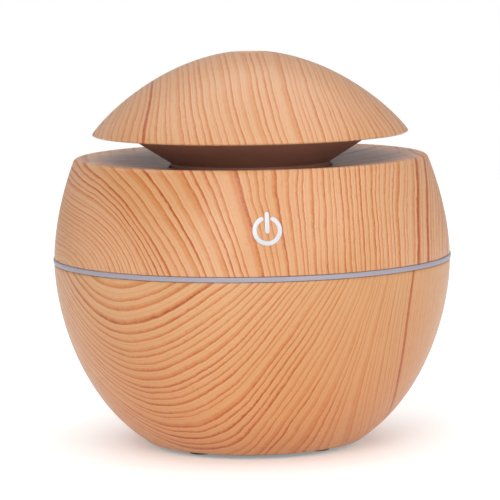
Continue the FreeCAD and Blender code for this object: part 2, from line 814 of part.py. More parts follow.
def piezo_retainer():
    """Plate that clamps the seal against the tank."""
    opening = piezo_radius - seal_cover - 0.4
    plate = tube(retainer_radius, opening, retainer_top - retainer_thickness, retainer_top)
    lip = tube(seal_radius, piezo_radius - seal_cover, retainer_top, piezo_seat - seal_height)
    holes = discs(hole_radius, retainer_top - retainer_thickness, retainer_top, retainer_screw_circle,
                  retainer_angles)
    return without(joined([plate, lip]), holes)


def retainer_screw_group():
    seat = retainer_top - retainer_thickness
    return screws(retainer_screw_circle, retainer_angles, seat, retainer_screw_head, pilot_radius - screw_gap,
                  retainer_screw_length)


# ================================================================ lower shell and base
def socket_front():
    """Front face of the inlet's square body: its lower corners just clear the inside of the shell."""
    reach = inner_radius(lower_radius, board_top, shell_wall) - part_gap
    return math.sqrt(reach ** 2 - (socket_width / 2) ** 2)


def socket_face():
    """Floor of the round recess that the inlet sits in, as a distance from the axis."""
    return socket_front() + inlet_wall


def lower_shell():
    """Lower half of the globe, with a ledge for the base plate, board posts and the inlet recess."""
    zs = [shell_bottom + (lower_height - lower_bevel) * (1 - math.cos(a)) for a in steps(0, math.pi / 2, 11)]
    outside = [(lower_radius(z), z) for z in zs]
    low = shell_bottom
    while inset(lower_radius, low, shell_wall)[1] < ledge_top + 0.05:
        low += 0.05
    inside = [inset(lower_radius, z, shell_wall) for z in steps(low, ring_bottom - 1.5, 9)]
    bevel_r = body_radius - lower_bevel
    shell = revolve([
        (plate_radius + part_gap, shell_bottom),
        outside,
        (bevel_r, ring_bottom),
        (body_radius - shell_wall, ring_bottom),
        list(reversed(inside)),
        (inside[0][0] - 0.4, ledge_top),
        (opening_radius, ledge_top),
        (opening_radius, plate_top),
        (plate_radius + part_gap, plate_top),
    ])
    posts = discs(board_post_radius, ledge_top - 0.5, board_bottom, board_post_circle, board_angles)
    face = socket_face()
    pad = along_y(inlet_recess + 1.6, face - inlet_wall, body_radius, 0, socket_z)
    zs = steps(socket_z - inlet_recess - 3, socket_z + inlet_recess + 3, 7)
    inside_fill = revolve([(0, zs[0]), [(inner_radius(lower_radius, z, shell_wall * 0.5), z) for z in zs],
                           (0, zs[-1])])
    whole = joined([shell, pad.common(inside_fill)] + posts)
    tools = [along_y(inlet_recess, face, body_radius + 1, 0, socket_z),
             along_y(socket_nose_radius + 0.15, face - inlet_wall - 0.1, face + 0.1, 0, socket_z)]
    hole_bottom = board_bottom - board_screw_bite - tip_gap
    tools += discs(pilot_radius, hole_bottom, board_bottom, board_post_circle, board_angles)
    return without(whole, tools)


def base_plate():
    """Grey bottom cover with air slots, fan pads, foot recesses and four screw bosses."""
    plate = revolve([(0, plate_bottom), (plate_radius - edge_bevel, plate_bottom),
                     (plate_radius, plate_bottom + edge_bevel), (plate_radius, plate_top), (0, plate_top)])
    spigot = tube(opening_radius - part_gap, opening_radius - part_gap - spigot_wall, plate_top, ledge_top)
    bosses = discs(post_radius + 0.4, plate_top, post_bottom(), post_circle, post_angles)
    half = fan_hole_pitch / 2
    corners = [(half, half), (-half, half), (-half, -half), (half, -half)]
    pads = [disc(fan_pad_radius, plate_top, fan_bottom, x, y) for x, y in corners]
    whole = joined([plate, spigot] + bosses + pads)
    tools = [turned(block(vent_inner, vent_outer, -vent_slot_width / 2, vent_slot_width / 2, plate_bottom,
                          plate_top), 360.0 * i / vent_slots) for i in range(vent_slots)]
    tools += discs(foot_radius, plate_bottom, plate_bottom + foot_sink, foot_circle, foot_angles)
    tools += discs(base_screw_head[0] + 0.15, plate_bottom, base_screw_seat(), post_circle, post_angles)
    tools += discs(flange_hole_radius, base_screw_seat(), post_bottom(), post_circle, post_angles)
    tools += [disc(pilot_radius, plate_bottom + 0.6, fan_bottom, *corners[i]) for i in (0, 2)]
    return without(whole, tools)


def base_screw_seat():
    return plate_top + 1.2


def base_screw_group():
    return screws(post_circle, post_angles, base_screw_seat(), base_screw_head, base_pilot_radius - screw_gap,
                  base_screw_length)


def rubber_feet():
    feet = []
    for angle in foot_angles:
        foot = disc(foot_radius, 0, foot_proud + foot_sink, *at(foot_circle, angle))
        feet.append(foot.makeChamfer(0.25, [foot.Edges[2]]))
    return Part.makeCompound(feet)


# ================================================================ fan
def fan_frame():
    """Square frame with four struts and a motor seat at its lower face."""
    half = fan_size / 2
    body = block(-half, half, -half, half, fan_bottom, fan_top)
    body = body.makeFillet(2.0, [e for e in body.Edges if abs(e.tangentAt(e.FirstParameter).z) > 0.9])
    body = body.cut(disc(fan_bore, fan_bottom, fan_top))
    seat = disc(hub_radius - 0.4, fan_bottom, fan_bottom + 1.0)
    stem = disc(1.7, fan_bottom, fan_bottom + 4.6)
    struts = [turned(block(0, fan_bore + 0.6, -0.8, 0.8, fan_bottom, fan_bottom + 1.0), 45 + 90 * i)
              for i in range(4)]
    pitch = fan_hole_pitch / 2
    holes = [disc(1.2, fan_bottom, fan_top, sx * pitch, sy * pitch) for sx in (-1, 1) for sy in (-1, 1)]
    holes.append(disc(bearing_radius(), fan_bottom + 0.5, fan_bottom + 4.6))
    return without(joined([body, seat, stem] + struts), holes)


def bearing_radius():
    return shaft_radius + 0.45


def fan_bearing():
    """Sintered sleeve that the fan's shaft turns in."""
    return tube(bearing_radius(), shaft_radius + shaft_clearance, fan_bottom + 0.5, fan_bottom + 4.6)


def fan_stator():
    """Four-pole core on the stem, with a coil round each pole."""
    z0, z1 = fan_bottom + 1.4, fan_bottom + 4.2
    core = tube(2.4, 1.7, z0, z1)
    poles = []
    for i in range(4):
        arm = block(2.0, 3.9, -0.5, 0.5, z0 + 0.6, z1 - 0.6)
        shoe = tube(4.3, 3.7, z0 + 0.3, z1 - 0.3).common(block(0, 5, -2.2, 2.2, z0, z1))
        coil = block(2.6, 3.6, -1.1, 1.1, z0 + 0.1, z1 - 0.1)
        poles += [turned(s, 90 * i + 45) for s in (arm, shoe, coil)]
    return joined([core] + poles)


def fan_shaft():
    shaft = disc(shaft_radius, fan_bottom + 0.8, fan_bottom + 5.6)
    return shaft.makeChamfer(0.15, [shaft.Edges[2]])


def fan_magnet():
    return tube(hub_radius - 0.6, hub_radius - 1.3, fan_bottom + 1.5, fan_bottom + 4.8)


def fan_impeller():
    """Hub cup with slanted blades."""
    cup = tube(hub_radius, hub_radius - 0.6, fan_bottom + 1.3, fan_bottom + 5.6)
    roof = tube(hub_radius, shaft_radius, fan_bottom + 4.8, fan_bottom + 6.2)
    roof_top = disc(hub_radius * 0.5, fan_bottom + 5.6, fan_bottom + 6.2)
    reach = fan_bore - 0.5
    zone = tube(reach, hub_radius - 0.3, fan_bottom + 1.3, fan_bottom + 6.2)
    blades = []
    for i in range(fan_blades):
        blade = block(hub_radius - 1, reach + 1, -3.6, 3.6, -0.3, 0.3)
        blade.rotate(ORIGIN, Vector(1, 0, 0), 38)
        blade.translate(Vector(0, 0, fan_bottom + 3.75))
        blades.append(turned(blade, 360.0 * i / fan_blades).common(zone))
    return joined([cup, roof, roof_top] + blades)


def fan_screws():
    pitch = fan_hole_pitch / 2
    circle = pitch * math.sqrt(2)
    return screws(circle, (45.0, 225.0), fan_top, fan_screw_head, pilot_radius - screw_gap,
                  fan_thickness + fan_screw_bite, up=False)


# ================================================================ main board
def main_board():
    board = tube(board_radius, board_hole, board_bottom, board_top)
    tools = discs(post_radius + 0.5, board_bottom, board_top, post_circle, post_angles)
    tools += discs(hole_radius, board_bottom, board_top, board_post_circle, board_angles)
    tools.append(disc(2.0, board_bottom, board_top, *fan_lead_hole()))
    return without(board, tools)


def fan_lead_hole():
    """Centre of the board's hole for the fan's leads, just outside a corner of the fan."""
    return fan_size / 2 + 2.5, -fan_size / 2 - 2.0


def board_screw_group():
    return screws(board_post_circle, board_angles, board_top, board_screw_head, pilot_radius - screw_gap,
                  board_thickness + board_screw_bite, up=False)


def dc_socket():
    """Round low-voltage inlet: a square body on the board and a nose through the shell."""
    half = socket_width / 2
    front = socket_front()
    nose_end = socket_face() + nose_proud
    body = block(-half, half, front - socket_length, front, board_top, socket_z + half)
    nose = along_y(socket_nose_radius, front, nose_end, 0, socket_z)
    bore = along_y(socket_bore, nose_end - socket_depth, nose_end, 0, socket_z)
    return joined([body, nose]).cut(bore)


def socket_contact():
    """Centre pin, and the solder tag behind it."""
    nose_end = socket_face() + nose_proud
    back = socket_front() - socket_length
    pin = along_y(socket_pin, nose_end - socket_depth, nose_end - 1.2, 0, socket_z)
    pin = pin.makeFillet(socket_pin * 0.6, [pin.Edges[0]])
    tag = block(-0.9, 0.9, back - 0.5, back, board_top, socket_z - 1.0)
    return Part.makeCompound([pin, tag])


def on_board(radius, angle, make):
    """Places what make() builds, at the origin with its foot at z = 0, on top of the board."""
    part = make()
    part.rotate(ORIGIN, Z_AXIS, angle + 90)
    x, y = at(radius, angle)
    part.translate(Vector(x, y, board_top))
    return part


def power_inductor():
    """Drum core with its winding between two flanges."""
    def drum():
        return joined([disc(4.0, 0, 1.0), disc(3.3, 0.8, 4.2), disc(4.0, 4.0, 5.0)])
    return on_board(board_radius - 9.5, 57.0, drum)


def capacitor():
    """Electrolytic can with a rolled neck and a scored top."""
    def can():
        radius, height = 3.1, 8.0
        body = revolve([(0, 0), (radius, 0), (radius, 1.0), (radius - 0.3, 1.4), (radius, 1.8),
                        (radius, height - 0.4), (radius - 0.4, height), (0, height)])
        score = block(-2.2, 2.2, -0.15, 0.15, height - 0.2, height)
        return without(body, [score, turned(score, 90)])
    return on_board(board_radius - 9.5, 123.0, can)


def driver_transistor():
    """Flat power transistor with its tab and three legs."""
    def package():
        case = block(-3.3, 3.3, -3.0, 3.0, 0.1, 2.4)
        metal = [block(-2.7, 2.7, 3.0, 5.4, 0.0, 0.6), block(-2.7, 2.7, 2.0, 3.2, 0.1, 0.6)]
        for x in (-2.3, 0.0, 2.3):
            metal.append(block(x - 0.4, x + 0.4, -5.0, -3.0, 0.0, 0.6))
            metal.append(block(x - 0.4, x + 0.4, -3.2, -2.6, 0.1, 0.6))
        return joined([case] + metal)
    return on_board(board_radius - 7.8, -9.0, package)


def controller_chip():
    """Sixteen-leg chip that runs the mist, the lamps and the touch key."""
    def chip():
        case = block(-5.0, 5.0, -2.0, 2.0, 0.25, 1.8)
        legs = []
        for x in steps(-4.4, 4.4, 8):
            legs.append(block(x - 0.2, x + 0.2, 1.8, 3.2, 0.0, 0.5))
            legs.append(block(x - 0.2, x + 0.2, -3.2, -1.8, 0.0, 0.5))
        return joined([case] + legs)
    return on_board(board_radius - 8.5, 192.0, chip)


# each connector's distance from the axis, and its angle
CONNECTORS = {
    "piezo": (24.5, 293.0),
    "fan": (math.hypot(*fan_lead_hole()) + 5.2, 316.0),
    "led": (26.0, 227.0),
    "touch": (25.0, 250.0),
}


def wire_connectors():
    """Four small wire-to-board connectors."""
    def header():
        return block(-2.6, 2.6, -2.0, 2.0, 0.0, connector_height())
    return Part.makeCompound([on_board(r, a, header) for r, a in CONNECTORS.values()])


def connector_height():
    return 3.6


def lead_end(name):
    """Top centre of a connector."""
    x, y = at(*CONNECTORS[name])
    return x, y, board_top + connector_height()


# ================================================================ leads
def piezo_leads():
    """From the disc's electrode down through the retainer and across to the connector."""
    x, y, z = lead_end("piezo")
    start = piezo_bottom() - 0.15
    run = (retainer_top - retainer_thickness + z) / 2
    return wires([(0.6, -1.5, start), (0.6, -1.5, run), (x, y, run), (x, y, z)], 2, 1.9, (0.92, 0.39, 0))


def fan_leads():
    """From the fan's side up through the board and over into the connector."""
    x, y = fan_lead_hole()
    side = fan_size / 2
    end_x, end_y, end_z = lead_end("fan")
    start_y = -side + 4.0
    start_z = fan_bottom + 4.5
    leads = []
    for step in (-0.53, 0.53):
        leads.append(wire([(side, start_y + step, start_z), (x + step, start_y + step, start_z),
                           (x + step, y + step, fan_top + 0.5), (x + step, y + step, end_z + 3.6),
                           (end_x + step, end_y + step, end_z + 3.6), (end_x + step, end_y + step, end_z)],
                          wire_radius))
    return Part.makeCompound(leads)


def led_leads():
    """From the ring of lamps down through the flange's notch to the main board."""
    x, y, z = lead_end("led")
    top_x, top_y = at((tank_radius + led_board_outer) / 2 + 0.2, led_wire_angle)
    low_x, low_y = at(board_post_circle + 12.0, led_wire_angle)
    return wires([(top_x, top_y, flange_top), (top_x, top_y, tank_under - 2.0), (low_x, low_y, z + 6.0),
                  (x, y, z + 4.5), (x, y, z)], 3, 1.4, (0.7071, -0.7071, 0))


def touch_leads():
    """From the touch board down past the tank to the main board."""
    x, y, z = lead_end("touch")
    board_y = touch_centre_y() + touch_thickness / 2
    top = symbol_z - touch_height / 2
    return wires([(0, board_y, top), (0, board_y, tank_under - 2.0), (x * 0.4, board_y + 8.0, z + 6.0),
                  (x, y, z + 4.5), (x, y, z)], 3, 1.4, (1, 0, 0))


PARTS = {
    "cap_dome": cap_dome,
    "cap_inner_cover": cap_inner_cover,
    "mist_funnel": mist_funnel,
    "neck_seal": neck_seal,
    "upper_shell": upper_shell,
    "neck_collar": neck_collar,
    "power_symbol": power_symbol,
    "touch_board": touch_board,
    "touch_spring": touch_spring,
    "touch_leads": touch_leads,
    "light_ring": light_ring,
    "led_board": led_board,
    "ring_leds": ring_leds,
    "led_leads": led_leads,
    "water_tank": water_tank,
    "tank_gasket": tank_gasket,
    "vent_hood": vent_hood,
    "tank_screws": tank_screws,
    "piezo_disc": piezo_disc,
    "piezo_seal": piezo_seal,
    "piezo_retainer": piezo_retainer,
    "retainer_screws": retainer_screw_group,
    "piezo_leads": piezo_leads,
    "lower_shell": lower_shell,
    "base_plate": base_plate,
    "base_screws": base_screw_group,
    "rubber_feet": rubber_feet,
    "fan_frame": fan_frame,
    "fan_bearing": fan_bearing,
    "fan_stator": fan_stator,
    "fan_shaft": fan_shaft,
    "fan_magnet": fan_magnet,
    "fan_impeller": fan_impeller,
    "fan_screws": fan_screws,
    "fan_leads": fan_leads,
    "main_board": main_board,
    "board_screws": board_screw_group,
    "dc_socket": dc_socket,
    "socket_contact": socket_contact,
    "power_inductor": power_inductor,
    "capacitor": capacitor,
    "driver_transistor": driver_transistor,
    "controller_chip": controller_chip,
    "wire_connectors": wire_connectors,
}

os.makedirs(OUT, exist_ok=True)
for name, make in PARTS.items():
    save(name, make())
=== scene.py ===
"""Looks of the wood-grain essential oil diffuser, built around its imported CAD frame."""
import json
import math

import bmesh
import bpy
from mathutils import Matrix, Vector


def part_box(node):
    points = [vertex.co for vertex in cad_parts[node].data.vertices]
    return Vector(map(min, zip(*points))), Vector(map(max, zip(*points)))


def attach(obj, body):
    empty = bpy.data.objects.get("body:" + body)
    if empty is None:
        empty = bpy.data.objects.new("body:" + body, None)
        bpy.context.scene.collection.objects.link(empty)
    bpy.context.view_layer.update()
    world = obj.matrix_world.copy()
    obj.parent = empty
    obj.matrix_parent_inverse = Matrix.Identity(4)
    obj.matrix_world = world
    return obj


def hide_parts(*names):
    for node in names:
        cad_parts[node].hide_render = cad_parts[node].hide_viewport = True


MM = 0.001
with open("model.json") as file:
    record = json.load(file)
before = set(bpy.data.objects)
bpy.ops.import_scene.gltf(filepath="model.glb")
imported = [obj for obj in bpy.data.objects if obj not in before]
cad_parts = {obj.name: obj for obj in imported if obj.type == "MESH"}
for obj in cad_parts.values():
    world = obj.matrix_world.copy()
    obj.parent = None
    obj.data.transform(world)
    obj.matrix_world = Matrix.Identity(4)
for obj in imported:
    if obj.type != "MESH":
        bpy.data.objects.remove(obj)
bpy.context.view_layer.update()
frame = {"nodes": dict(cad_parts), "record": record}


def low(node, axis=2):
    """Lowest coordinate of a CAD node, in millimetres."""
    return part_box(node)[0][axis] / MM


def high(node, axis=2):
    """Highest coordinate of a CAD node, in millimetres."""
    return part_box(node)[1][axis] / MM


# ---------------------------------------------------------------- sizes of the outer skins, in millimetres
WALL, DOME_WALL, COVER_WALL = 2.0, 1.8, 1.6
RING_TOOTH, RING_PROUD = 1.25, 0.25
SHELL_BOTTOM, RING_BOTTOM = low("lower_shell"), high("lower_shell")
RING_TOP = RING_BOTTOM + RING_TOOTH
BODY_R = high("light_ring", 0) - RING_PROUD
BOTTOM_R, PLATE_R, LEDGE_R = 27.5, 25.1, 21.0
PILOT_R = 0.9

UPPER_HEIGHT, RIM_R, RIM_ROUND = 24.85, 44.4, 1.2
RIM = RING_TOP + UPPER_HEIGHT
DISH_DEPTH, DISH_R, COLLAR_R = 2.4, RIM_R - RIM_ROUND, 20.7

CAP_EDGE, CAP_HEIGHT, CAP_R = low("cap_dome"), 20.85, 40.0
OUTLET_R, OUTLET_ROUND = 4.6, 0.5
NECK_R, NECK_IN, NECK_HEIGHT = 20.1, 18.3, 7.45
NECK_BOTTOM = low("cap_inner_cover")
CONE_BOTTOM, CONE_SLOPE = NECK_BOTTOM + NECK_HEIGHT, 0.634

# the symbol's ring, its open gap to each side of the top in degrees, and its bar
# the bar's ends are heights above the ring's centre, and CENTRE_DROP is that centre below the symbol's middle
SYMBOL_R, SYMBOL_HALF, SYMBOL_GAP = 3.0, 0.55, 27.0
BAR_TOP, BAR_BOTTOM = 3.8, -0.15
CENTRE_DROP = 0.375
SYMBOL_Z = (low("power_symbol") + high("power_symbol")) / 2 - CENTRE_DROP
POCKET_DEPTH, INLAY_DEPTH, INLAY_PROUD, INLAY_SOFT = 0.4, 0.38, 0.12, 0.10

# powers of the outlines, and the height over which the lower one would close to a point
LOWER_POWERS, UPPER_POWER, DOME_POWERS = (2.6, 1.78), 1.83, (1.9, 1.15)
FULL = (RING_BOTTOM - SHELL_BOTTOM) / (1 - (BOTTOM_R / BODY_R) ** LOWER_POWERS[0]) ** (1 / LOWER_POWERS[1])

# steps round the large skins, and the distance below which two points of an outline are one
FINE = 480
SAME_POINT = 1e-4


def lower_r(z):
    """Radius of the lower shell at height z."""
    share = min(max((RING_BOTTOM - z) / FULL, 0.0), 0.999)
    return BODY_R * (1 - share ** LOWER_POWERS[1]) ** (1 / LOWER_POWERS[0])


def upper_r(z):
    """Radius of the upper shell at height z."""
    share = max((z - RING_BOTTOM) / (RIM - RING_BOTTOM), 0.0)
    return BODY_R - (BODY_R - RIM_R) * share ** UPPER_POWER


def dome_z(r):
    """Height of the dome at radius r."""
    return CAP_EDGE + CAP_HEIGHT * (1 - (r / CAP_R) ** DOME_POWERS[0]) ** (1 / DOME_POWERS[1])


def dome_r(z):
    """Radius of the dome at height z."""
    share = min(max((z - CAP_EDGE) / CAP_HEIGHT, 0.0), 1.0)
    return CAP_R * (1 - share ** DOME_POWERS[1]) ** (1 / DOME_POWERS[0])


def dish_z(r):
    """Height of the sloping top at radius r."""
    return RIM - DISH_DEPTH * (DISH_R - r) / (DISH_R - COLLAR_R)


def cone_z(r):
    """Height of the cone under the dome at radius r."""
    return CONE_BOTTOM + CONE_SLOPE * (r - NECK_R)


def inset(outline, z, depth):
    """The point (r, z) that lies depth inside an outline."""
    step = 0.01
    slope = (outline(z + step) - outline(z - step)) / (2 * step)
    length = math.hypot(1, slope)
    return outline(z) - depth / length, z + depth * slope / length


def inset_r(outline, z, depth):
    """Radius at height z of the surface that lies depth inside an outline."""
    below, above = z - 4 * depth, z + 4 * depth
    for _ in range(30):
        middle = (below + above) / 2
        if inset(outline, middle, depth)[1] < z:
            below = middle
        else:
            above = middle
    return inset(outline, below, depth)[0]


def spaced(first, last, count):
    """Evenly spaced values, both ends included."""
    return [first + (last - first) * i / (count - 1) for i in range(count)]


def line(a, b, count):
    """Evenly spaced points from a to b."""
    return list(zip(spaced(a[0], b[0], count), spaced(a[1], b[1], count)))


def arc(centre, radius, first, last, count=8):
    """Points of an arc, in degrees from +r towards +z."""
    turns = [math.radians(a) for a in spaced(first, last, count)]
    return [(centre[0] + radius * math.cos(a), centre[1] + radius * math.sin(a)) for a in turns]


# ---------------------------------------------------------------- mesh helpers
def mesh_object(name, bm, smooth_angle=30):
    """Turns a bmesh into a linked object; edges sharper than the angle, in degrees, stay sharp."""
    bmesh.ops.recalc_face_normals(bm, faces=bm.faces)
    mesh = bpy.data.meshes.new(name)
    bm.to_mesh(mesh)
    bm.free()
    obj = bpy.data.objects.new(name, mesh)
    bpy.context.scene.collection.objects.link(obj)
    smooth(obj, smooth_angle)
    return obj


def smooth(obj, angle=30):
    obj.data.shade_smooth()
    obj.data.set_sharp_from_angle(angle=math.radians(angle))


def lathe(bm, outline, segments=360, x=0.0, y=0.0, solid=False):
    """Turns the (r, z) points of an outline, in millimetres, round an upright axis at (x, y).

    The outline is a closed ring of points. Where solid is true, it runs from the bottom face to the top."""
    points = [outline[0]]
    for p in outline[1:]:
        if math.dist(p, points[-1]) > SAME_POINT:
            points.append(p)
    turns = [2 * math.pi * k / segments for k in range(segments)]
    rings = [[bm.verts.new(((x + r * math.cos(t)) * MM, (y + r * math.sin(t)) * MM, z * MM)) for t in turns]
             for r, z in points]
    pairs = list(zip(rings, rings[1:]))
    if not solid:
        pairs.append((rings[-1], rings[0]))
    for a, b in pairs:
        for k in range(segments):
            n = (k + 1) % segments
            bm.faces.new((a[k], a[n], b[n], b[k]))
    if solid:
        bm.faces.new(rings[0][::-1])
        bm.faces.new(rings[-1])


def rod(bm, radius, z0, z1, x=0.0, y=0.0, segments=64):
    """An upright cylinder."""
    lathe(bm, [(radius, z0), (radius, z1)], segments, x, y, solid=True)


def along_y(bm, radius, y0, y1, z):
    """A cylinder along Y."""
    made = bmesh.new()
    rod(made, radius, y0, y1, segments=128)
    bmesh.ops.rotate(made, verts=made.verts, cent=(0, 0, 0), matrix=Matrix.Rotation(math.radians(-90), 3, "X"))
    bmesh.ops.translate(made, verts=made.verts, vec=(0, 0, z * MM))
    mesh = bpy.data.meshes.new("cylinder")
    made.to_mesh(mesh)
    made.free()
    bm.from_mesh(mesh)
    bpy.data.meshes.remove(mesh)


def prism(bm, corners, half, angle):
    """A plate of thickness 2 * half through the (r, z) corners, turned to an angle round the axis."""
    a = math.radians(angle)
    sides = []
    for side in (-half, half):
        sides.append([bm.verts.new(((r * math.cos(a) - side * math.sin(a)) * MM,
                                    (r * math.sin(a) + side * math.cos(a)) * MM, z * MM)) for r, z in corners])
    bm.faces.new(sides[0])
    bm.faces.new(sides[1][::-1])
    count = len(corners)
    for k in range(count):
        n = (k + 1) % count
        bm.faces.new((sides[0][n], sides[0][k], sides[1][k], sides[1][n]))


def combine(obj, bm, operation):
    """Adds or cuts away the closed shapes of bm, and leaves one clean mesh."""
    tool = mesh_object("tool", bm)
    modifier = obj.modifiers.new("combine", "BOOLEAN")
    modifier.operation = operation
    modifier.solver = "EXACT"
    modifier.use_self = operation == "UNION"
    modifier.object = tool
    graph = bpy.context.evaluated_depsgraph_get()
    mesh = bpy.data.meshes.new_from_object(obj.evaluated_get(graph))
    obj.modifiers.clear()
    old = obj.data
    obj.data = mesh
    bpy.data.meshes.remove(old)
    bpy.data.objects.remove(tool)
    smooth(obj)


# ---------------------------------------------------------------- shader helpers
class Nodes:
    """A small writer for a material's node tree."""

    def __init__(self, name):
        self.material = bpy.data.materials.new(name)
        self.material.use_nodes = True
        self.tree = self.material.node_tree
        self.tree.nodes.clear()
        self.out = self.tree.nodes.new("ShaderNodeOutputMaterial")

    def add(self, kind, **settings):
        node = self.tree.nodes.new("ShaderNode" + kind)
        for key, value in settings.items():
            setattr(node, key, value)
        return node

    def put(self, socket, value):
        """Links a socket to another one, or sets its value."""
        if isinstance(value, bpy.types.NodeSocket):
            self.tree.links.new(value, socket)
        elif socket.type == "RGBA":
            socket.default_value = (*value, 1.0)
        else:
            socket.default_value = value

    def math(self, operation, *values):
        node = self.add("Math", operation=operation)
        for socket, value in zip(node.inputs, values):
            self.put(socket, value)
        return node.outputs[0]

    def total(self, *values):
        result = values[0]
        for value in values[1:]:
            result = self.math("ADD", result, value)
        return result

    def times(self, *values):
        result = values[0]
        for value in values[1:]:
            result = self.math("MULTIPLY", result, value)
        return result

    def span(self, value, low, high, to_low=0.0, to_high=1.0, smooth=False):
        """Maps the span from low to high onto another one, and holds the ends."""
        node = self.add("MapRange", interpolation_type="SMOOTHSTEP" if smooth else "LINEAR")
        self.put(node.inputs["Value"], value)
        self.put(node.inputs["From Min"], low)
        self.put(node.inputs["From Max"], high)
        self.put(node.inputs["To Min"], to_low)
        self.put(node.inputs["To Max"], to_high)
        return node.outputs[0]

    def coordinates(self):
        """Object coordinates in millimetres: the vector, and its x, y and z."""
        place = self.add("TexCoord").outputs["Object"]
        scaled = self.add("VectorMath", operation="SCALE")
        self.put(scaled.inputs[0], place)
        scaled.inputs["Scale"].default_value = 1 / MM
        split = self.add("SeparateXYZ")
        self.put(split.inputs[0], scaled.outputs[0])
        return scaled.outputs[0], split.outputs[0], split.outputs[1], split.outputs[2]

    def vector(self, x, y, z):
        node = self.add("CombineXYZ")
        for i, value in enumerate((x, y, z)):
            self.put(node.inputs[i], value)
        return node.outputs[0]

    def noise(self, where, scale, detail=2.0, rough=0.5):
        node = self.add("TexNoise", noise_dimensions="3D")
        self.put(node.inputs["Vector"], where)
        self.put(node.inputs["Scale"], scale)
        self.put(node.inputs["Detail"], detail)
        self.put(node.inputs["Roughness"], rough)
        return node.outputs[0]

    def line_noise(self, w, scale, detail=0.0):
        """Noise along one number."""
        node = self.add("TexNoise", noise_dimensions="1D")
        self.put(node.inputs["W"], w)
        self.put(node.inputs["Scale"], scale)
        self.put(node.inputs["Detail"], detail)
        return node.outputs[0]

    def ramp(self, value, stops):
        """Colour of a value, from (position, colour) stops."""
        node = self.add("ValToRGB")
        elements = node.color_ramp.elements
        while len(elements) < len(stops):
            elements.new(1.0)
        for element, (position, colour) in zip(elements, stops):
            element.position = position
            element.color = (*colour, 1.0)
        self.put(node.inputs[0], value)
        return node.outputs[0]

    def mix(self, factor, a, b, blend="MIX"):
        node = self.add("Mix", data_type="RGBA", blend_type=blend)
        self.put(node.inputs[0], factor)
        self.put(node.inputs[6], a)
        self.put(node.inputs[7], b)
        return node.outputs[2]

    def curve(self, value, knots, reach):
        """A smooth curve through (value, result) knots; results are shares of reach."""
        node = self.add("FloatCurve")
        first, last = knots[0][0], knots[-1][0]
        points = node.mapping.curves[0].points
        while len(points) < len(knots):
            points.new(0.5, 0.5)
        for point, (where, result) in zip(points, knots):
            point.location = ((where - first) / (last - first), result / reach)
        node.mapping.update()
        self.put(node.inputs["Value"], self.span(value, first, last))
        return self.times(node.outputs[0], reach)

    def bump(self, height, strength, distance):
        node = self.add("Bump")
        self.put(node.inputs["Height"], height)
        node.inputs["Strength"].default_value = strength
        node.inputs["Distance"].default_value = distance
        return node.outputs[0]

    def finish(self, **sockets):
        """The surface itself: sockets of the Principled shader by name, with _ for a space."""
        shader = self.add("BsdfPrincipled")
        for key, value in sockets.items():
            self.put(shader.inputs[key.replace("_", " ")], value)
        self.tree.links.new(shader.outputs[0], self.out.inputs["Surface"])
        return self.material


# ---------------------------------------------------------------- wood film
def ring_count(density):
    """Running number of growth rings at each (distance, rings per millimetre) knot."""
    knots = [(density[0][0], 0.0)]
    for (a, da), (b, db) in zip(density, density[1:]):
        knots.append((b, knots[-1][1] + (b - a) * (da + db) / 2))
    return knots


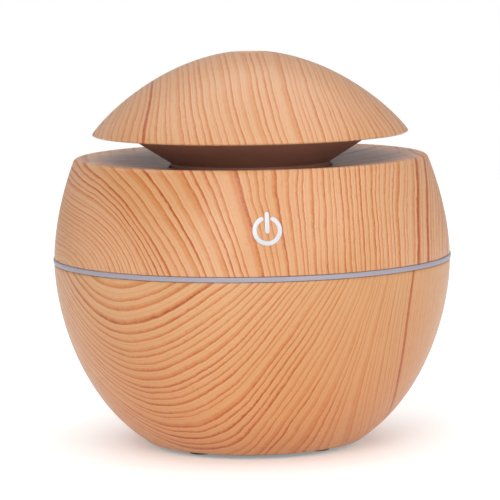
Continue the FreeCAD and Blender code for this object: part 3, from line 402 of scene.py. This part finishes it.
def wood(name, field, density, pale, low_painted_shade=None, accents=(), coat=0.12, top=None):
    """Wood-grain film under a satin coat.

    field(n, x, y, z) gives the distance across the growth rings, the distance along them, both in millimetres,
    and how strongly the rings show. Each ring darkens slowly and ends in a sharp late-wood line. density gives
    the rings per millimetre, and pale two ground tones. The argument for the lower part paints a warm shade:
    the colour is multiplied by its tone in full at its first height, fading out by its second. accents are
    single dark lines as (place, width, depth), and top is a function that paints a reflection onto a part of
    the surface."""
    n = Nodes(name)
    where, x, y, z = n.coordinates()
    across, along, strength = field(n, x, y, z)

    # the distance across the rings wavers at three scales, and its rings are numbered
    sway = n.times(n.math("SUBTRACT", n.noise(where, 0.035, 1.0), 0.5), 2.6)
    feather = n.noise(n.vector(n.times(across, 0.55), n.times(along, 0.55), y), 1.5, 2.0, 0.6)
    ripple = n.times(n.math("SUBTRACT", n.noise(where, 0.20, 1.0), 0.5), 0.5)
    s = n.total(across, sway, ripple, n.times(n.math("SUBTRACT", feather, 0.5), 0.34))
    knots = ring_count(density)
    phase = n.curve(s, knots, knots[-1][1])
    above_zero = 40.0
    phase = n.total(phase, n.times(n.math("SUBTRACT", n.line_noise(phase, 0.43, 1.0), 0.5), 1.5), above_zero)
    ring = n.math("FRACT", phase)
    number = n.math("FLOOR", phase)

    # late wood: a dark line at the end of each ring, of uneven depth, and finer lines between
    late = n.times(n.math("POWER", n.span(ring, 0.38, 0.85, 0.0, 1.0, True), 2.0),
                   n.span(ring, 0.90, 1.0, 1.0, 0.0, True))
    each = n.span(n.line_noise(n.times(number, 7.31), 1.0), 0.25, 0.75, 0.45, 1.0)
    patch = n.span(n.noise(where, 0.11, 2.0, 0.6), 0.30, 0.70, 0.72, 1.06)
    speck = n.span(feather, 0.30, 0.70, 0.80, 1.10)
    dark = n.times(late, each, patch, speck, strength)
    thin = n.math("FRACT", n.times(phase, 3.0))
    hair = n.times(n.span(thin, 0.50, 0.86, 0.0, 1.0, True), n.span(thin, 0.90, 1.0, 1.0, 0.0, True), 0.20)
    dark = n.total(dark, n.times(hair, patch))
    for place, width, depth in accents:
        gap = n.math("ABSOLUTE", n.math("SUBTRACT", s, place))
        dark = n.math("MAXIMUM", dark, n.times(n.span(gap, width * 0.35, width, depth, 0.0, True), speck))
    dark = n.math("MINIMUM", dark, 1.0)

    # ground tone, ring tones, fibres and pores
    tone = n.ramp(n.noise(where, 0.026, 1.0), [(0.38, pale[0]), (0.62, pale[1])])
    early = n.ramp(ring, [(0.0, (1.02, 1.03, 1.05)), (0.55, (0.99, 0.97, 0.94)), (1.0, (0.96, 0.92, 0.86))])
    lines = n.ramp(dark, [(0.0, (1, 1, 1)), (0.45, (0.90, 0.66, 0.45)), (0.75, (0.76, 0.40, 0.22)),
                          (1.0, (0.58, 0.22, 0.11))])
    colour = n.mix(1.0, n.mix(1.0, tone, early, "MULTIPLY"), lines, "MULTIPLY")
    fibre = n.noise(n.vector(n.times(across, 3.2), n.times(along, 0.22), n.times(y, 0.1)), 1.0, 2.0, 0.6)
    colour = n.mix(n.span(fibre, 0.35, 0.75, 0.0, 0.34), colour, (0.93, 0.82, 0.70), "MULTIPLY")
    pores = n.noise(n.vector(n.times(across, 2.6), n.times(along, 0.9), n.times(y, 0.3)), 1.0, 1.0)
    colour = n.mix(n.span(pores, 0.62, 0.74, 0.0, 0.45), colour, (0.88, 0.68, 0.50), "MULTIPLY")
    # painted shade: the colour itself is made warmer and darker towards the bottom
    if low_painted_shade:
        colour = n.mix(n.span(z, low_painted_shade[0], low_painted_shade[1], 1.0, 0.0), colour, low_painted_shade[2], "MULTIPLY")
    gloss = n.span(n.noise(where, 0.5, 2.0), 0.3, 0.7, 0.36, 0.45)
    # painted reflection: the sloping top gets a grey sheen mixed into its colour
    if top:
        colour, gloss = top(n, x, y, z, colour, gloss)
    relief = n.bump(n.total(n.times(dark, -0.5), n.times(fibre, 0.4)), 0.06, 0.00006)
    return n.finish(Base_Color=colour, Roughness=gloss, Normal=relief, Coat_Weight=coat, Coat_Roughness=0.3,
                    Specular_IOR_Level=0.35)


def dish_painted_reflection(n, x, y, z, colour, gloss):
    """The sloping top gets a painted grey reflection mixed into its colour, with faint streaks that run across
    it and one dark line on the right.
    """
    rho = n.math("SQRT", n.total(n.times(x, x), n.times(y, y)))
    fade_from, fade_to = 68.0, 69.0
    inside = n.times(n.span(rho, DISH_R - 7.0, DISH_R + 0.2, 1.0, 0.15), n.span(z, fade_from, fade_to))
    inside = n.times(inside, n.span(rho, DISH_R, DISH_R + 0.4, 1.0, 0.0))
    along, apart = n.total(n.times(x, 0.82), n.times(y, 0.57)), n.total(n.times(y, 0.82), n.times(x, -0.57))
    streak = n.noise(n.vector(n.times(along, 0.035), n.times(apart, 0.20), 0.0), 1.0, 4.0, 0.7)
    # painted reflection: these grey-pink tones stand for the white surroundings mirrored at a grazing angle and
    # are mixed into the wood's colour; the streaks in them follow the grain
    grey = n.ramp(streak, [(0.36, (0.56, 0.355, 0.275)), (0.48, (0.67, 0.465, 0.39)),
                           (0.62, (0.76, 0.575, 0.50))])
    slant = n.total(y, n.times(x, -0.70), n.times(n.noise(n.vector(x, 0.0, 0.0), 0.15), 1.2), 2.1)
    crack = n.times(n.span(n.math("ABSOLUTE", slant), 0.5, 1.7, 1.0, 0.0), n.span(x, 20.0, 24.0))
    grey = n.mix(n.times(crack, 0.8), grey, (0.17, 0.09, 0.065))
    return n.mix(n.times(inside, 0.85), colour, grey), n.total(gloss, n.times(inside, -0.08))


def upper_field(n, x, y, z):
    """Rings round a point low on the left, which lean and open out into upright lines on the right."""
    w = n.math("SUBTRACT", z, 47.5)
    u = n.total(x, 47.8)
    leaning = n.total(u, n.times(w, 0.30))
    reach = n.math("SQRT", n.total(n.times(leaning, leaning), n.times(w, w, 0.5), 0.5))
    lean = n.total(0.20, n.span(reach, 12, 26, 0.0, 0.25, True), n.span(reach, 27, 66, 0.0, -0.40),
                   n.span(reach, 66, 92, 0.0, -0.10))
    tall = n.total(0.90, n.span(reach, 12, 28, 0.0, -0.45, True), n.span(reach, 30, 70, 0.0, -0.42))
    u = n.total(u, n.times(w, lean))
    across = n.math("SQRT", n.total(n.times(u, u), n.times(tall, w, w), 0.5))
    strength = n.total(n.span(across, 4, 20, 0.75, 1.0, True), n.span(across, 36, 60, 0.0, -0.15, True))
    return across, z, strength


def lower_field(n, x, y, z):
    """Rings that hang in arcs round a point high on the left, wrapped round the shell."""
    v = n.math("SUBTRACT", 50.0, z)
    rho = n.math("SQRT", n.total(n.times(x, x), n.times(y, y), 0.01))
    wrapped = n.times(rho, n.math("ARCSINE", n.times(n.math("DIVIDE", x, rho), 0.97)))
    u = n.total(wrapped, 39.0, n.times(v, v, -0.0098))
    u = n.math("MINIMUM", u, n.times(u, 1.35))
    arch = n.math("SUBTRACT", n.math("SQRT", n.total(400.0, n.times(u, u, 0.8))), 20.0)
    right = n.math("MAXIMUM", n.total(wrapped, 8.0), 0.0)
    steep = n.times(right, right, 0.012)
    fall = n.times(v, n.span(wrapped, 0.0, 45.0, 1.0, 0.4, True))
    along = n.total(n.times(wrapped, 0.7), n.times(v, -0.7))
    return n.total(fall, arch, steep), along, n.span(wrapped, -5.0, 26.0, 1.05, 0.45, True)


def cap_field(n, x, y, z):
    """Upright lines that lean a little to the right towards the cap's edge."""
    fall = n.math("MAXIMUM", n.times(n.math("SUBTRACT", 96.0, z), 1 / 17.0), 0.0)
    near = n.span(n.math("ABSOLUTE", n.total(x, 4.0)), 8.0, 30.0, 2.4, 0.0, True)
    closing = n.total(0.08, n.span(x, 6.0, 30.0, 0.0, 0.46), n.span(x, -34.0, -10.0, 0.30, 0.0))
    rise = n.math("POWER", n.span(z, 79.0, 97.0), 1.4)
    across = n.total(x, n.times(x, closing, rise), n.times(fall, fall, near, -1.0), 45.0)
    return across, z, n.span(x, -40.0, 40.0, 0.72, 0.66)


# rings per millimetre at each distance across them
UPPER_DENSITY = [(0, 0.90), (9, 1.00), (17, 0.96), (25, 0.56), (34, 0.44), (46, 0.50), (56, 0.64), (68, 0.82),
                 (88, 0.92), (104, 0.95)]
LOWER_DENSITY = [(0, 0.34), (14, 0.36), (20, 0.52), (45, 0.60), (60, 0.56), (80, 0.62), (160, 0.66)]
CAP_DENSITY = [(0, 0.95), (8, 0.85), (18, 0.70), (30, 0.56), (42, 0.44), (54, 0.46), (64, 0.66), (76, 0.66),
               (84, 0.80), (92, 0.90)]


# ---------------------------------------------------------------- plainer finishes
def plain(name, colour, rough, metallic=0.0, grain=0.06, scale=1.2, relief=0.05, spread=0.06, **extra):
    """A solid finish with slight mottling, uneven gloss and a fine surface texture."""
    n = Nodes(name)
    where, x, y, z = n.coordinates()
    cloud = n.noise(where, scale * 0.12, 3.0)
    fine = n.noise(where, scale * 3.0, 3.0, 0.6)
    dark = tuple(c * (1 - grain) for c in colour)
    light = tuple(min(1.0, c * (1 + grain)) for c in colour)
    tint = n.ramp(cloud, [(0.3, dark), (0.7, light)])
    gloss = n.span(fine, 0.25, 0.75, max(rough - spread, 0.02), min(rough + spread, 1.0))
    return n.finish(Base_Color=tint, Roughness=gloss, Metallic=metallic, Normal=n.bump(fine, relief, 0.00005),
                    **extra)


MATERIALS = {
    "white_plastic": plain("white_plastic", (0.80, 0.80, 0.775), 0.42, Subsurface_Weight=0.1,
                           Subsurface_Radius=(0.002, 0.002, 0.0018)),
    "grey_plastic": plain("grey_plastic", (0.13, 0.122, 0.118), 0.5, relief=0.12),
    "black_plastic": plain("black_plastic", (0.022, 0.022, 0.024), 0.42, relief=0.1),
    "silicone": plain("silicone", (0.78, 0.77, 0.74), 0.35, Subsurface_Weight=0.3,
                      Subsurface_Radius=(0.002, 0.002, 0.002)),
    "foot_rubber": plain("foot_rubber", (0.10, 0.10, 0.10), 0.72, relief=0.2),
    "steel": plain("steel", (0.62, 0.62, 0.60), 0.30, 1.0),
    "bright_steel": plain("bright_steel", (0.76, 0.76, 0.75), 0.18, 1.0),
    "green_board": plain("green_board", (0.015, 0.13, 0.045), 0.33),
    "white_board": plain("white_board", (0.80, 0.80, 0.78), 0.40),
    "lamp": plain("lamp", (0.90, 0.84, 0.55), 0.25),
    "ceramic": plain("ceramic", (0.66, 0.65, 0.62), 0.25, 0.9),
    "bronze": plain("bronze", (0.55, 0.34, 0.16), 0.40, 0.9, relief=0.2),
    "copper": plain("copper", (0.72, 0.28, 0.12), 0.30, 0.8),
    "magnet": plain("magnet", (0.07, 0.07, 0.075), 0.55),
    "ferrite": plain("ferrite", (0.05, 0.05, 0.052), 0.5),
    "can": plain("can", (0.05, 0.06, 0.10), 0.28),
    "chip": plain("chip", (0.025, 0.025, 0.027), 0.45),
    "connector": plain("connector", (0.84, 0.81, 0.72), 0.45),
    "lead": plain("lead", (0.50, 0.03, 0.02), 0.38),
    "contact": plain("contact", (0.80, 0.74, 0.52), 0.25, 1.0),
    "brown_plastic": plain("brown_plastic", (0.33, 0.160, 0.112), 0.42, relief=0.06),
    "silver_inlay": plain("silver_inlay", (0.47, 0.47, 0.49), 0.38, 0.30, grain=0.05, scale=2.5, relief=0.15),
    "frosted_guide": plain("frosted_guide", (0.275, 0.255, 0.30), 0.38, grain=0.02, Subsurface_Weight=0.15,
                           Subsurface_Radius=(0.002, 0.002, 0.002)),
    "bare_plastic": plain("bare_plastic", (0.52, 0.33, 0.19), 0.5, relief=0.08),
    "wood_upper": wood("wood_upper", upper_field, UPPER_DENSITY, [(0.555, 0.318, 0.180), (0.50, 0.262, 0.120)],
                       # the sloping top of the upper shell gets a painted reflection
                       accents=[(85.6, 0.55, 1.0), (88.6, 0.55, 0.95)], top=dish_painted_reflection),
    "wood_lower": wood("wood_lower", lower_field, LOWER_DENSITY, [(0.52, 0.290, 0.140), (0.49, 0.262, 0.118)],
                       # painted shade: warmer and darker towards the bottom of the lower shell
                       low_painted_shade=(6.0, 46.0, (1.02, 0.86, 0.72)), accents=[(81.4, 1.3, 0.9)]),
    "wood_cap": wood("wood_cap", cap_field, CAP_DENSITY, [(0.55, 0.310, 0.168), (0.515, 0.275, 0.135)],
                     accents=[(16.6, 0.5, 0.95)], coat=0.4),
}
slots = {entry["node"]: entry["material_slot"] for entry in frame["record"]["subparts"]}


def dress(obj, slot):
    obj.data.materials.clear()
    obj.data.materials.append(MATERIALS[slot])


for node_name, node in frame["nodes"].items():
    dress(node, slots[node_name])


def skin(obj, body, node):
    """A finely built piece that stands for one CAD node."""
    dress(obj, slots[node])
    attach(obj, body)
    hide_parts(node)
    return obj


def line_inside(obj, outline, depth):
    """The film covers only the outside: faces deeper than depth inside the outline are bare plastic."""
    obj.data.materials.append(MATERIALS["bare_plastic"])
    for face in obj.data.polygons:
        r = math.hypot(face.center.x, face.center.y) / MM
        if r < outline(face.center.z / MM) - depth:
            face.material_index = 1


# ---------------------------------------------------------------- cap
def build_dome():
    """Dome with a rounded mist hole and a soft lower edge; its points lie closer together towards the top."""
    hole_z = dome_z(OUTLET_R + OUTLET_ROUND)
    first = CAP_EDGE + 0.4
    heights = [first + (hole_z - first) * math.sin(a) for a in spaced(0, math.pi / 2, 100)]
    outside = [(dome_r(z), z) for z in heights]
    inner = [inset(dome_r, CAP_EDGE + 0.9 + (hole_z - CAP_EDGE - 1.4) * math.sin(a), DOME_WALL)
             for a in spaced(0, math.pi / 2, 50)]
    inner = [(r, z) for r, z in inner if r > OUTLET_R + 0.05]
    lower_edge = [(outside[0][0] - 0.4, CAP_EDGE), (outside[0][0] - 0.12, CAP_EDGE + 0.12)]
    lip = arc((OUTLET_R + OUTLET_ROUND, hole_z - OUTLET_ROUND), OUTLET_ROUND, 90, 180)
    bm = bmesh.new()
    lathe(bm, [(inner[0][0], CAP_EDGE + 0.05), (inner[0][0] + 0.15, CAP_EDGE)] + lower_edge + outside + lip
          + [(OUTLET_R, hole_z - 2.0)] + inner[::-1], FINE)
    dome = skin(mesh_object("dome_skin", bm), "cap", "cap_dome")
    line_inside(dome, lambda z: dome_r(z) if z < dome_z(OUTLET_R + 1.5) else 0.0, 0.9)


def build_cover():
    """Cone and neck under the dome, with rounded edges and the groove of the seal."""
    tilt = math.atan(CONE_SLOPE)
    back_r, back_z = COVER_WALL * math.sin(tilt), COVER_WALL * math.cos(tilt)
    seal_low, seal_high = low("neck_seal"), high("neck_seal")
    groove = 19.15
    # the cone ends just inside the dome's wall
    widest = high("cap_inner_cover", 0) - 0.05
    edge_r = next(r for r in spaced(widest, NECK_R, 400) if inset_r(dome_r, cone_z(r), DOME_WALL) > r + 0.1)
    bm = bmesh.new()
    lathe(bm, [(NECK_IN, NECK_BOTTOM + 0.2), (NECK_IN + 0.2, NECK_BOTTOM), (NECK_R - 0.4, NECK_BOTTOM)]
          + arc((NECK_R - 0.4, NECK_BOTTOM + 0.4), 0.4, -90, 0, 5)
          + [(NECK_R, seal_low - 0.05), (groove, seal_low - 0.05), (groove, seal_high + 0.05),
             (NECK_R, seal_high + 0.05), (NECK_R, CONE_BOTTOM - 0.2), (NECK_R + 0.05, CONE_BOTTOM)]
          + line((NECK_R + 0.15, cone_z(NECK_R + 0.15)), (edge_r, cone_z(edge_r)), 40)
          + [(edge_r + 0.02, cone_z(edge_r) + 0.5), (edge_r - 0.8, cone_z(edge_r) + 2.4),
             (edge_r - 1.6, cone_z(edge_r) + 2.4),
             (edge_r - 1.6, cone_z(edge_r - 1.6) + back_z / math.cos(tilt)),
             (NECK_R - back_r, CONE_BOTTOM + back_z), (NECK_IN, CONE_BOTTOM + back_z)])
    skin(mesh_object("cover_skin", bm), "cap", "cap_inner_cover")


# ---------------------------------------------------------------- shells
def build_lower():
    """Lower shell, open at the base, with the inlet's recess and the board's posts."""
    outside = [(lower_r(z), z) for z in spaced(SHELL_BOTTOM + 0.25, RING_BOTTOM - 0.45, 110)]
    inner = [inset(lower_r, z, WALL) for z in spaced(4.6, RING_BOTTOM - 1.4, 40)]
    ledge, plate_top = 4.2, 2.4
    bottom_r = outside[0][0]
    bm = bmesh.new()
    lathe(bm, [(PLATE_R + 0.1, SHELL_BOTTOM), (bottom_r - 0.45, SHELL_BOTTOM),
               (bottom_r - 0.12, SHELL_BOTTOM + 0.08)]
          + outside + [(BODY_R - 0.14, RING_BOTTOM - 0.10), (BODY_R - 0.5, RING_BOTTOM),
                       (BODY_R - WALL, RING_BOTTOM)]
          + inner[::-1] + [(inner[0][0] - 0.3, ledge), (LEDGE_R, ledge), (LEDGE_R, plate_top),
                           (PLATE_R + 0.1, plate_top)], FINE)
    shell = mesh_object("lower_skin", bm)

    # pad and recess of the power inlet, and the board's posts
    socket_z = low("dc_socket") + 4.7
    face = high("dc_socket", 1) - 0.6
    recess_r, nose_r, pad_wall = 5.2, 4.15, 2.0
    board_z, post_circle, post_r, pilot_depth = low("main_board"), 26.5, 2.6, 5.7
    posts = [(post_circle * math.cos(a), post_circle * math.sin(a)) for a in
             (math.radians(30 + 120 * i) for i in range(3))]
    block, inside_wall, added = bmesh.new(), bmesh.new(), bmesh.new()
    along_y(block, recess_r + 1.6, face - pad_wall, BODY_R, socket_z)
    pad = mesh_object("pad", block)
    # the pad ends in the middle of the shell's wall, so nothing of it shows outside
    wall_middle = [(lower_r(z) - WALL / 2, z) for z in spaced(socket_z - 9, socket_z + 9, 30)]
    lathe(inside_wall, wall_middle, FINE, solid=True)
    combine(pad, inside_wall, "INTERSECT")
    added.from_mesh(pad.data)
    bpy.data.objects.remove(pad)
    cut = bmesh.new()
    along_y(cut, recess_r, face, BODY_R + 1, socket_z)
    along_y(cut, nose_r, face - pad_wall - 0.5, face + 0.5, socket_z)
    for x, y in posts:
        rod(added, post_r, ledge - 0.5, board_z, x, y)
        rod(cut, PILOT_R, board_z - pilot_depth, board_z + 0.5, x, y, 32)
    combine(shell, added, "UNION")
    combine(shell, cut, "DIFFERENCE")
    skin(shell, "body", "lower_shell")
    line_inside(shell, lower_r, 1.0)


def build_upper():
    """Upper shell with its rounded rim, sloping top, tank seat, screw bosses and the symbol's pocket."""
    side_top = RIM - RIM_ROUND
    outside = [(upper_r(z), z) for z in spaced(RING_TOP + 0.2, side_top, 80)]
    top_r, top_z = outside[-1]
    corner = (top_r - 0.30, RIM + 0.02)
    rim = []
    for t in spaced(0.0, 1.0, 12)[1:]:
        mix = [(1 - t) ** 2 * a + 2 * t * (1 - t) * b + t * t * c
               for a, b, c in zip((top_r, top_z), corner, (DISH_R, dish_z(DISH_R)))]
        rim.append(tuple(mix))
    inner = [inset(upper_r, z, WALL) for z in spaced(RING_TOP + 0.05, 68.4, 40)]
    tank_in, tank_out = 39.6, 41.8
    gasket_top, tank_top = high("tank_gasket"), low("tank_gasket")
    lip, skirt = 0.7, tank_top - 1.2
    under = dish_z(tank_in - lip) - WALL
    bm = bmesh.new()
    lathe(bm, [(outside[0][0] - 0.35, RING_TOP), (outside[0][0] - 0.08, RING_TOP + 0.06)] + outside + rim
          + line((DISH_R, dish_z(DISH_R)), (COLLAR_R + 0.35, dish_z(COLLAR_R + 0.35)), 30)
          + arc((COLLAR_R + 0.35, dish_z(COLLAR_R) - 0.35), 0.35, 90, 180, 5)
          + [(COLLAR_R, dish_z(COLLAR_R) - WALL), (tank_in - lip, under), (tank_in - lip, skirt),
             (tank_in, skirt), (tank_in, gasket_top),
             (tank_out, gasket_top), (tank_out, skirt), (tank_out + lip, skirt),
             (tank_out + lip, 70.6), (inner[-1][0] + 0.1, 70.1)] + inner[::-1], FINE)
    shell = mesh_object("upper_skin", bm)

    # screw bosses with their ribs, and the pocket of the power symbol
    boss_circle, boss_r, pilot_depth = 43.7, 2.2, 9.5
    boss_top, boss_bottom = tank_top - 2.0, low("upper_shell")
    rib_bottom, rib_low_r, rib_high_r, rib_half = 51.5, 48.4, 45.2, 0.8
    added = bmesh.new()
    cut = bmesh.new()
    for angle in (90, 210, 330):
        a = math.radians(angle)
        x, y = boss_circle * math.cos(a), boss_circle * math.sin(a)
        rod(added, boss_r, boss_bottom, boss_top, x, y)
        rod(cut, PILOT_R, boss_bottom - 0.5, boss_bottom + pilot_depth, x, y, 32)
        prism(added, [(boss_circle, rib_bottom), (rib_low_r, rib_bottom), (rib_high_r, boss_top),
                      (boss_circle, boss_top)], rib_half, angle)
    combine(shell, added, "UNION")
    combine(shell, cut, "DIFFERENCE")
    pocket = bmesh.new()
    symbol_strokes(pocket, -POCKET_DEPTH, 1.0, 0.0)
    combine(shell, pocket, "DIFFERENCE")
    skin(shell, "body", "upper_shell")
    line_inside(shell, upper_r, 1.0)
    # the sloping top is film too, though it lies deep inside the side's outline
    for face in shell.data.polygons:
        r, z = math.hypot(face.center.x, face.center.y) / MM, face.center.z / MM
        if r > COLLAR_R and z > dish_z(r) - 0.5:
            face.material_index = 0


# ---------------------------------------------------------------- power symbol
def stroke(bm, path, bottom, top, soft):
    """A raised stroke with round ends along a path of (x, z) points and directions, laid on the upper shell.

    It reaches from bottom to top, measured from the shell's surface, and its edge is rounded over soft."""
    half = SYMBOL_HALF
    shares = [-1.0, -0.97, -0.88, -0.6, -0.2, 0.2, 0.6, 0.88, 0.97, 1.0]
    edge = [top - soft, top - soft * 0.5, top - soft * 0.1]
    heights = edge + [top] * 4 + edge[::-1]
    (x0, z0, dx0, dz0), (x1, z1, dx1, dz1) = path[0], path[-1]
    rounds = [half * math.sin(a) for a in spaced(math.radians(88), 0, 10)]
    ends = [(x0 - dx0 * d, z0 - dz0 * d, dx0, dz0, math.sqrt(half * half - d * d)) for d in rounds]
    middle = [(x, z, dx, dz, half) for x, z, dx, dz in path[1:-1]]
    others = [(x1 + dx1 * d, z1 + dz1 * d, dx1, dz1, math.sqrt(half * half - d * d)) for d in rounds[::-1]]
    sections = []
    for x, z, dx, dz, width in ends + middle + others:
        row = []
        for share, height in list(zip(shares, heights)) + [(1.0, bottom), (-1.0, bottom)]:
            px, pz = x - dz * width * share, z + dx * width * share
            r = upper_r(pz) + height
            row.append(bm.verts.new((px * MM, -math.sqrt(r * r - px * px) * MM, pz * MM)))
        sections.append(row)
    for a, b in zip(sections, sections[1:]):
        count = len(a)
        for k in range(count):
            n = (k + 1) % count
            bm.faces.new((a[k], a[n], b[n], b[k]))
    bm.faces.new(sections[0])
    bm.faces.new(sections[-1][::-1])


def symbol_strokes(bm, bottom, top, soft):
    """The open ring of the power symbol, and its bar."""
    turns = [math.radians(a) for a in spaced(SYMBOL_GAP, 360 - SYMBOL_GAP, 90)]
    ring = [(SYMBOL_R * math.sin(a), SYMBOL_Z + SYMBOL_R * math.cos(a), math.cos(a), -math.sin(a))
            for a in turns]
    stroke(bm, ring, bottom, top, soft)
    stroke(bm, [(0.0, SYMBOL_Z + h, 0.0, 1.0) for h in spaced(BAR_BOTTOM, BAR_TOP, 12)], bottom, top, soft)


def build_symbol():
    bm = bmesh.new()
    symbol_strokes(bm, -INLAY_DEPTH, INLAY_PROUD, INLAY_SOFT)
    skin(mesh_object("symbol_inlay", bm, 50), "body", "power_symbol")


# ---------------------------------------------------------------- light ring and feet
def build_ring():
    """Light ring: a band with rounded edges, and a leg that stands inside both shells."""
    outer, soft, gap = BODY_R + RING_PROUD - 0.03, 0.3, 0.02
    leg_in, leg_out = 46.3, 47.6
    bm = bmesh.new()
    lathe(bm, [(leg_in, low("light_ring")), (leg_out, low("light_ring")), (leg_out, RING_BOTTOM),
               (outer - soft, RING_BOTTOM + gap)]
          + arc((outer - soft, RING_BOTTOM + gap + soft), soft, -90, 0, 6)
          + arc((outer - soft, RING_TOP - gap - soft), soft, 0, 90, 6)
          + [(leg_out, RING_TOP), (leg_out, high("light_ring")), (leg_in, high("light_ring"))], FINE)
    skin(mesh_object("ring_skin", bm), "body", "light_ring")


def build_feet():
    """Four round rubber feet with a soft edge and a shallow ring on the sole."""
    circle, radius, soft, top = 20.5, 3.1, 0.4, high("rubber_feet")
    bm = bmesh.new()
    for i in range(4):
        a = math.radians(45 + 90 * i)
        outline = [(0.9, 0.12), (1.1, 0.02), (1.3, 0.0), (radius - soft, 0.0)]
        outline += arc((radius - soft, soft), soft, -90, 0, 7)[1:] + [(radius, top)]
        lathe(bm, outline, 64, circle * math.cos(a), circle * math.sin(a), solid=True)
    skin(mesh_object("feet_skin", bm), "body", "rubber_feet")


build_dome()
build_cover()
build_lower()
build_upper()
build_symbol()
build_ring()
build_feet()


# ---------------------------------------------------------------- studio
def build_floor():
    """A white floor that glows faintly, so that it runs into the backdrop."""
    bm = bmesh.new()
    bmesh.ops.create_circle(bm, cap_ends=True, segments=128, radius=800 * MM)
    floor = mesh_object("floor", bm)
    n = Nodes("floor")
    place = n.coordinates()[0]
    tint = n.ramp(n.noise(place, 0.01, 2.0), [(0.3, (0.93, 0.93, 0.93)), (0.7, (0.94, 0.94, 0.94))])
    floor.data.materials.append(n.finish(Base_Color=tint, Roughness=0.7, Emission_Color=(1, 1, 1),
                                         Emission_Strength=0.22))


def build_world(light):
    """A white backdrop, and a softer white light from all round."""
    world = bpy.data.worlds.new("studio")
    bpy.context.scene.world = world
    world.use_nodes = True
    tree = world.node_tree
    tree.nodes.clear()
    glow = tree.nodes.new("ShaderNodeBackground")
    glow.inputs["Strength"].default_value = light
    backdrop = tree.nodes.new("ShaderNodeBackground")
    for node in (glow, backdrop):
        node.inputs["Color"].default_value = (1, 1, 1, 1)
    path = tree.nodes.new("ShaderNodeLightPath")
    both = tree.nodes.new("ShaderNodeMixShader")
    out = tree.nodes.new("ShaderNodeOutputWorld")
    tree.links.new(path.outputs["Is Camera Ray"], both.inputs[0])
    tree.links.new(glow.outputs[0], both.inputs[1])
    tree.links.new(backdrop.outputs[0], both.inputs[2])
    tree.links.new(both.outputs[0], out.inputs["Surface"])


def lamp(name, place, size, power):
    """A square soft light that looks at the middle of the object."""
    data = bpy.data.lights.new(name, "AREA")
    data.shape = "SQUARE"
    data.size = size * MM
    data.energy = power
    obj = bpy.data.objects.new(name, data)
    aim = Vector((0, 0, 50))
    obj.location = Vector(place) * MM
    obj.rotation_euler = (aim - Vector(place)).to_track_quat("-Z", "Y").to_euler()
    bpy.context.scene.collection.objects.link(obj)


def build_camera(lens, distance, elevation, azimuth, roll, target):
    """Camera at an azimuth and elevation round the target, in degrees and millimetres."""
    data = bpy.data.cameras.new("camera")
    data.sensor_width = 36.0
    data.lens = lens
    data.clip_start = 0.05
    data.clip_end = 20.0
    camera = bpy.data.objects.new("camera", data)
    bpy.context.scene.collection.objects.link(camera)
    bpy.context.scene.camera = camera
    e, a = math.radians(elevation), math.radians(azimuth)
    back = Vector((math.sin(a) * math.cos(e), -math.cos(a) * math.cos(e), math.sin(e)))
    camera.location = (Vector(target) + back * distance) * MM
    look = back.to_track_quat("Z", "Y").to_matrix().to_4x4()
    camera.rotation_euler = (look @ Matrix.Rotation(math.radians(roll), 4, "Z")).to_euler()


build_floor()
build_world(light=0.48)
lamp("top", place=(0, 0, 1150), size=1800, power=11.0)
lamp("key", place=(-280, -880, 480), size=500, power=4.0)
lamp("fill", place=(420, -860, 300), size=500, power=2.9)
build_camera(lens=213.3, distance=750.0, elevation=6.5, azimuth=-4.3, roll=-0.9, target=(-0.51, 0.04, 49.0))

view = bpy.context.scene.view_settings
view.view_transform = "Standard"
view.look = "None"
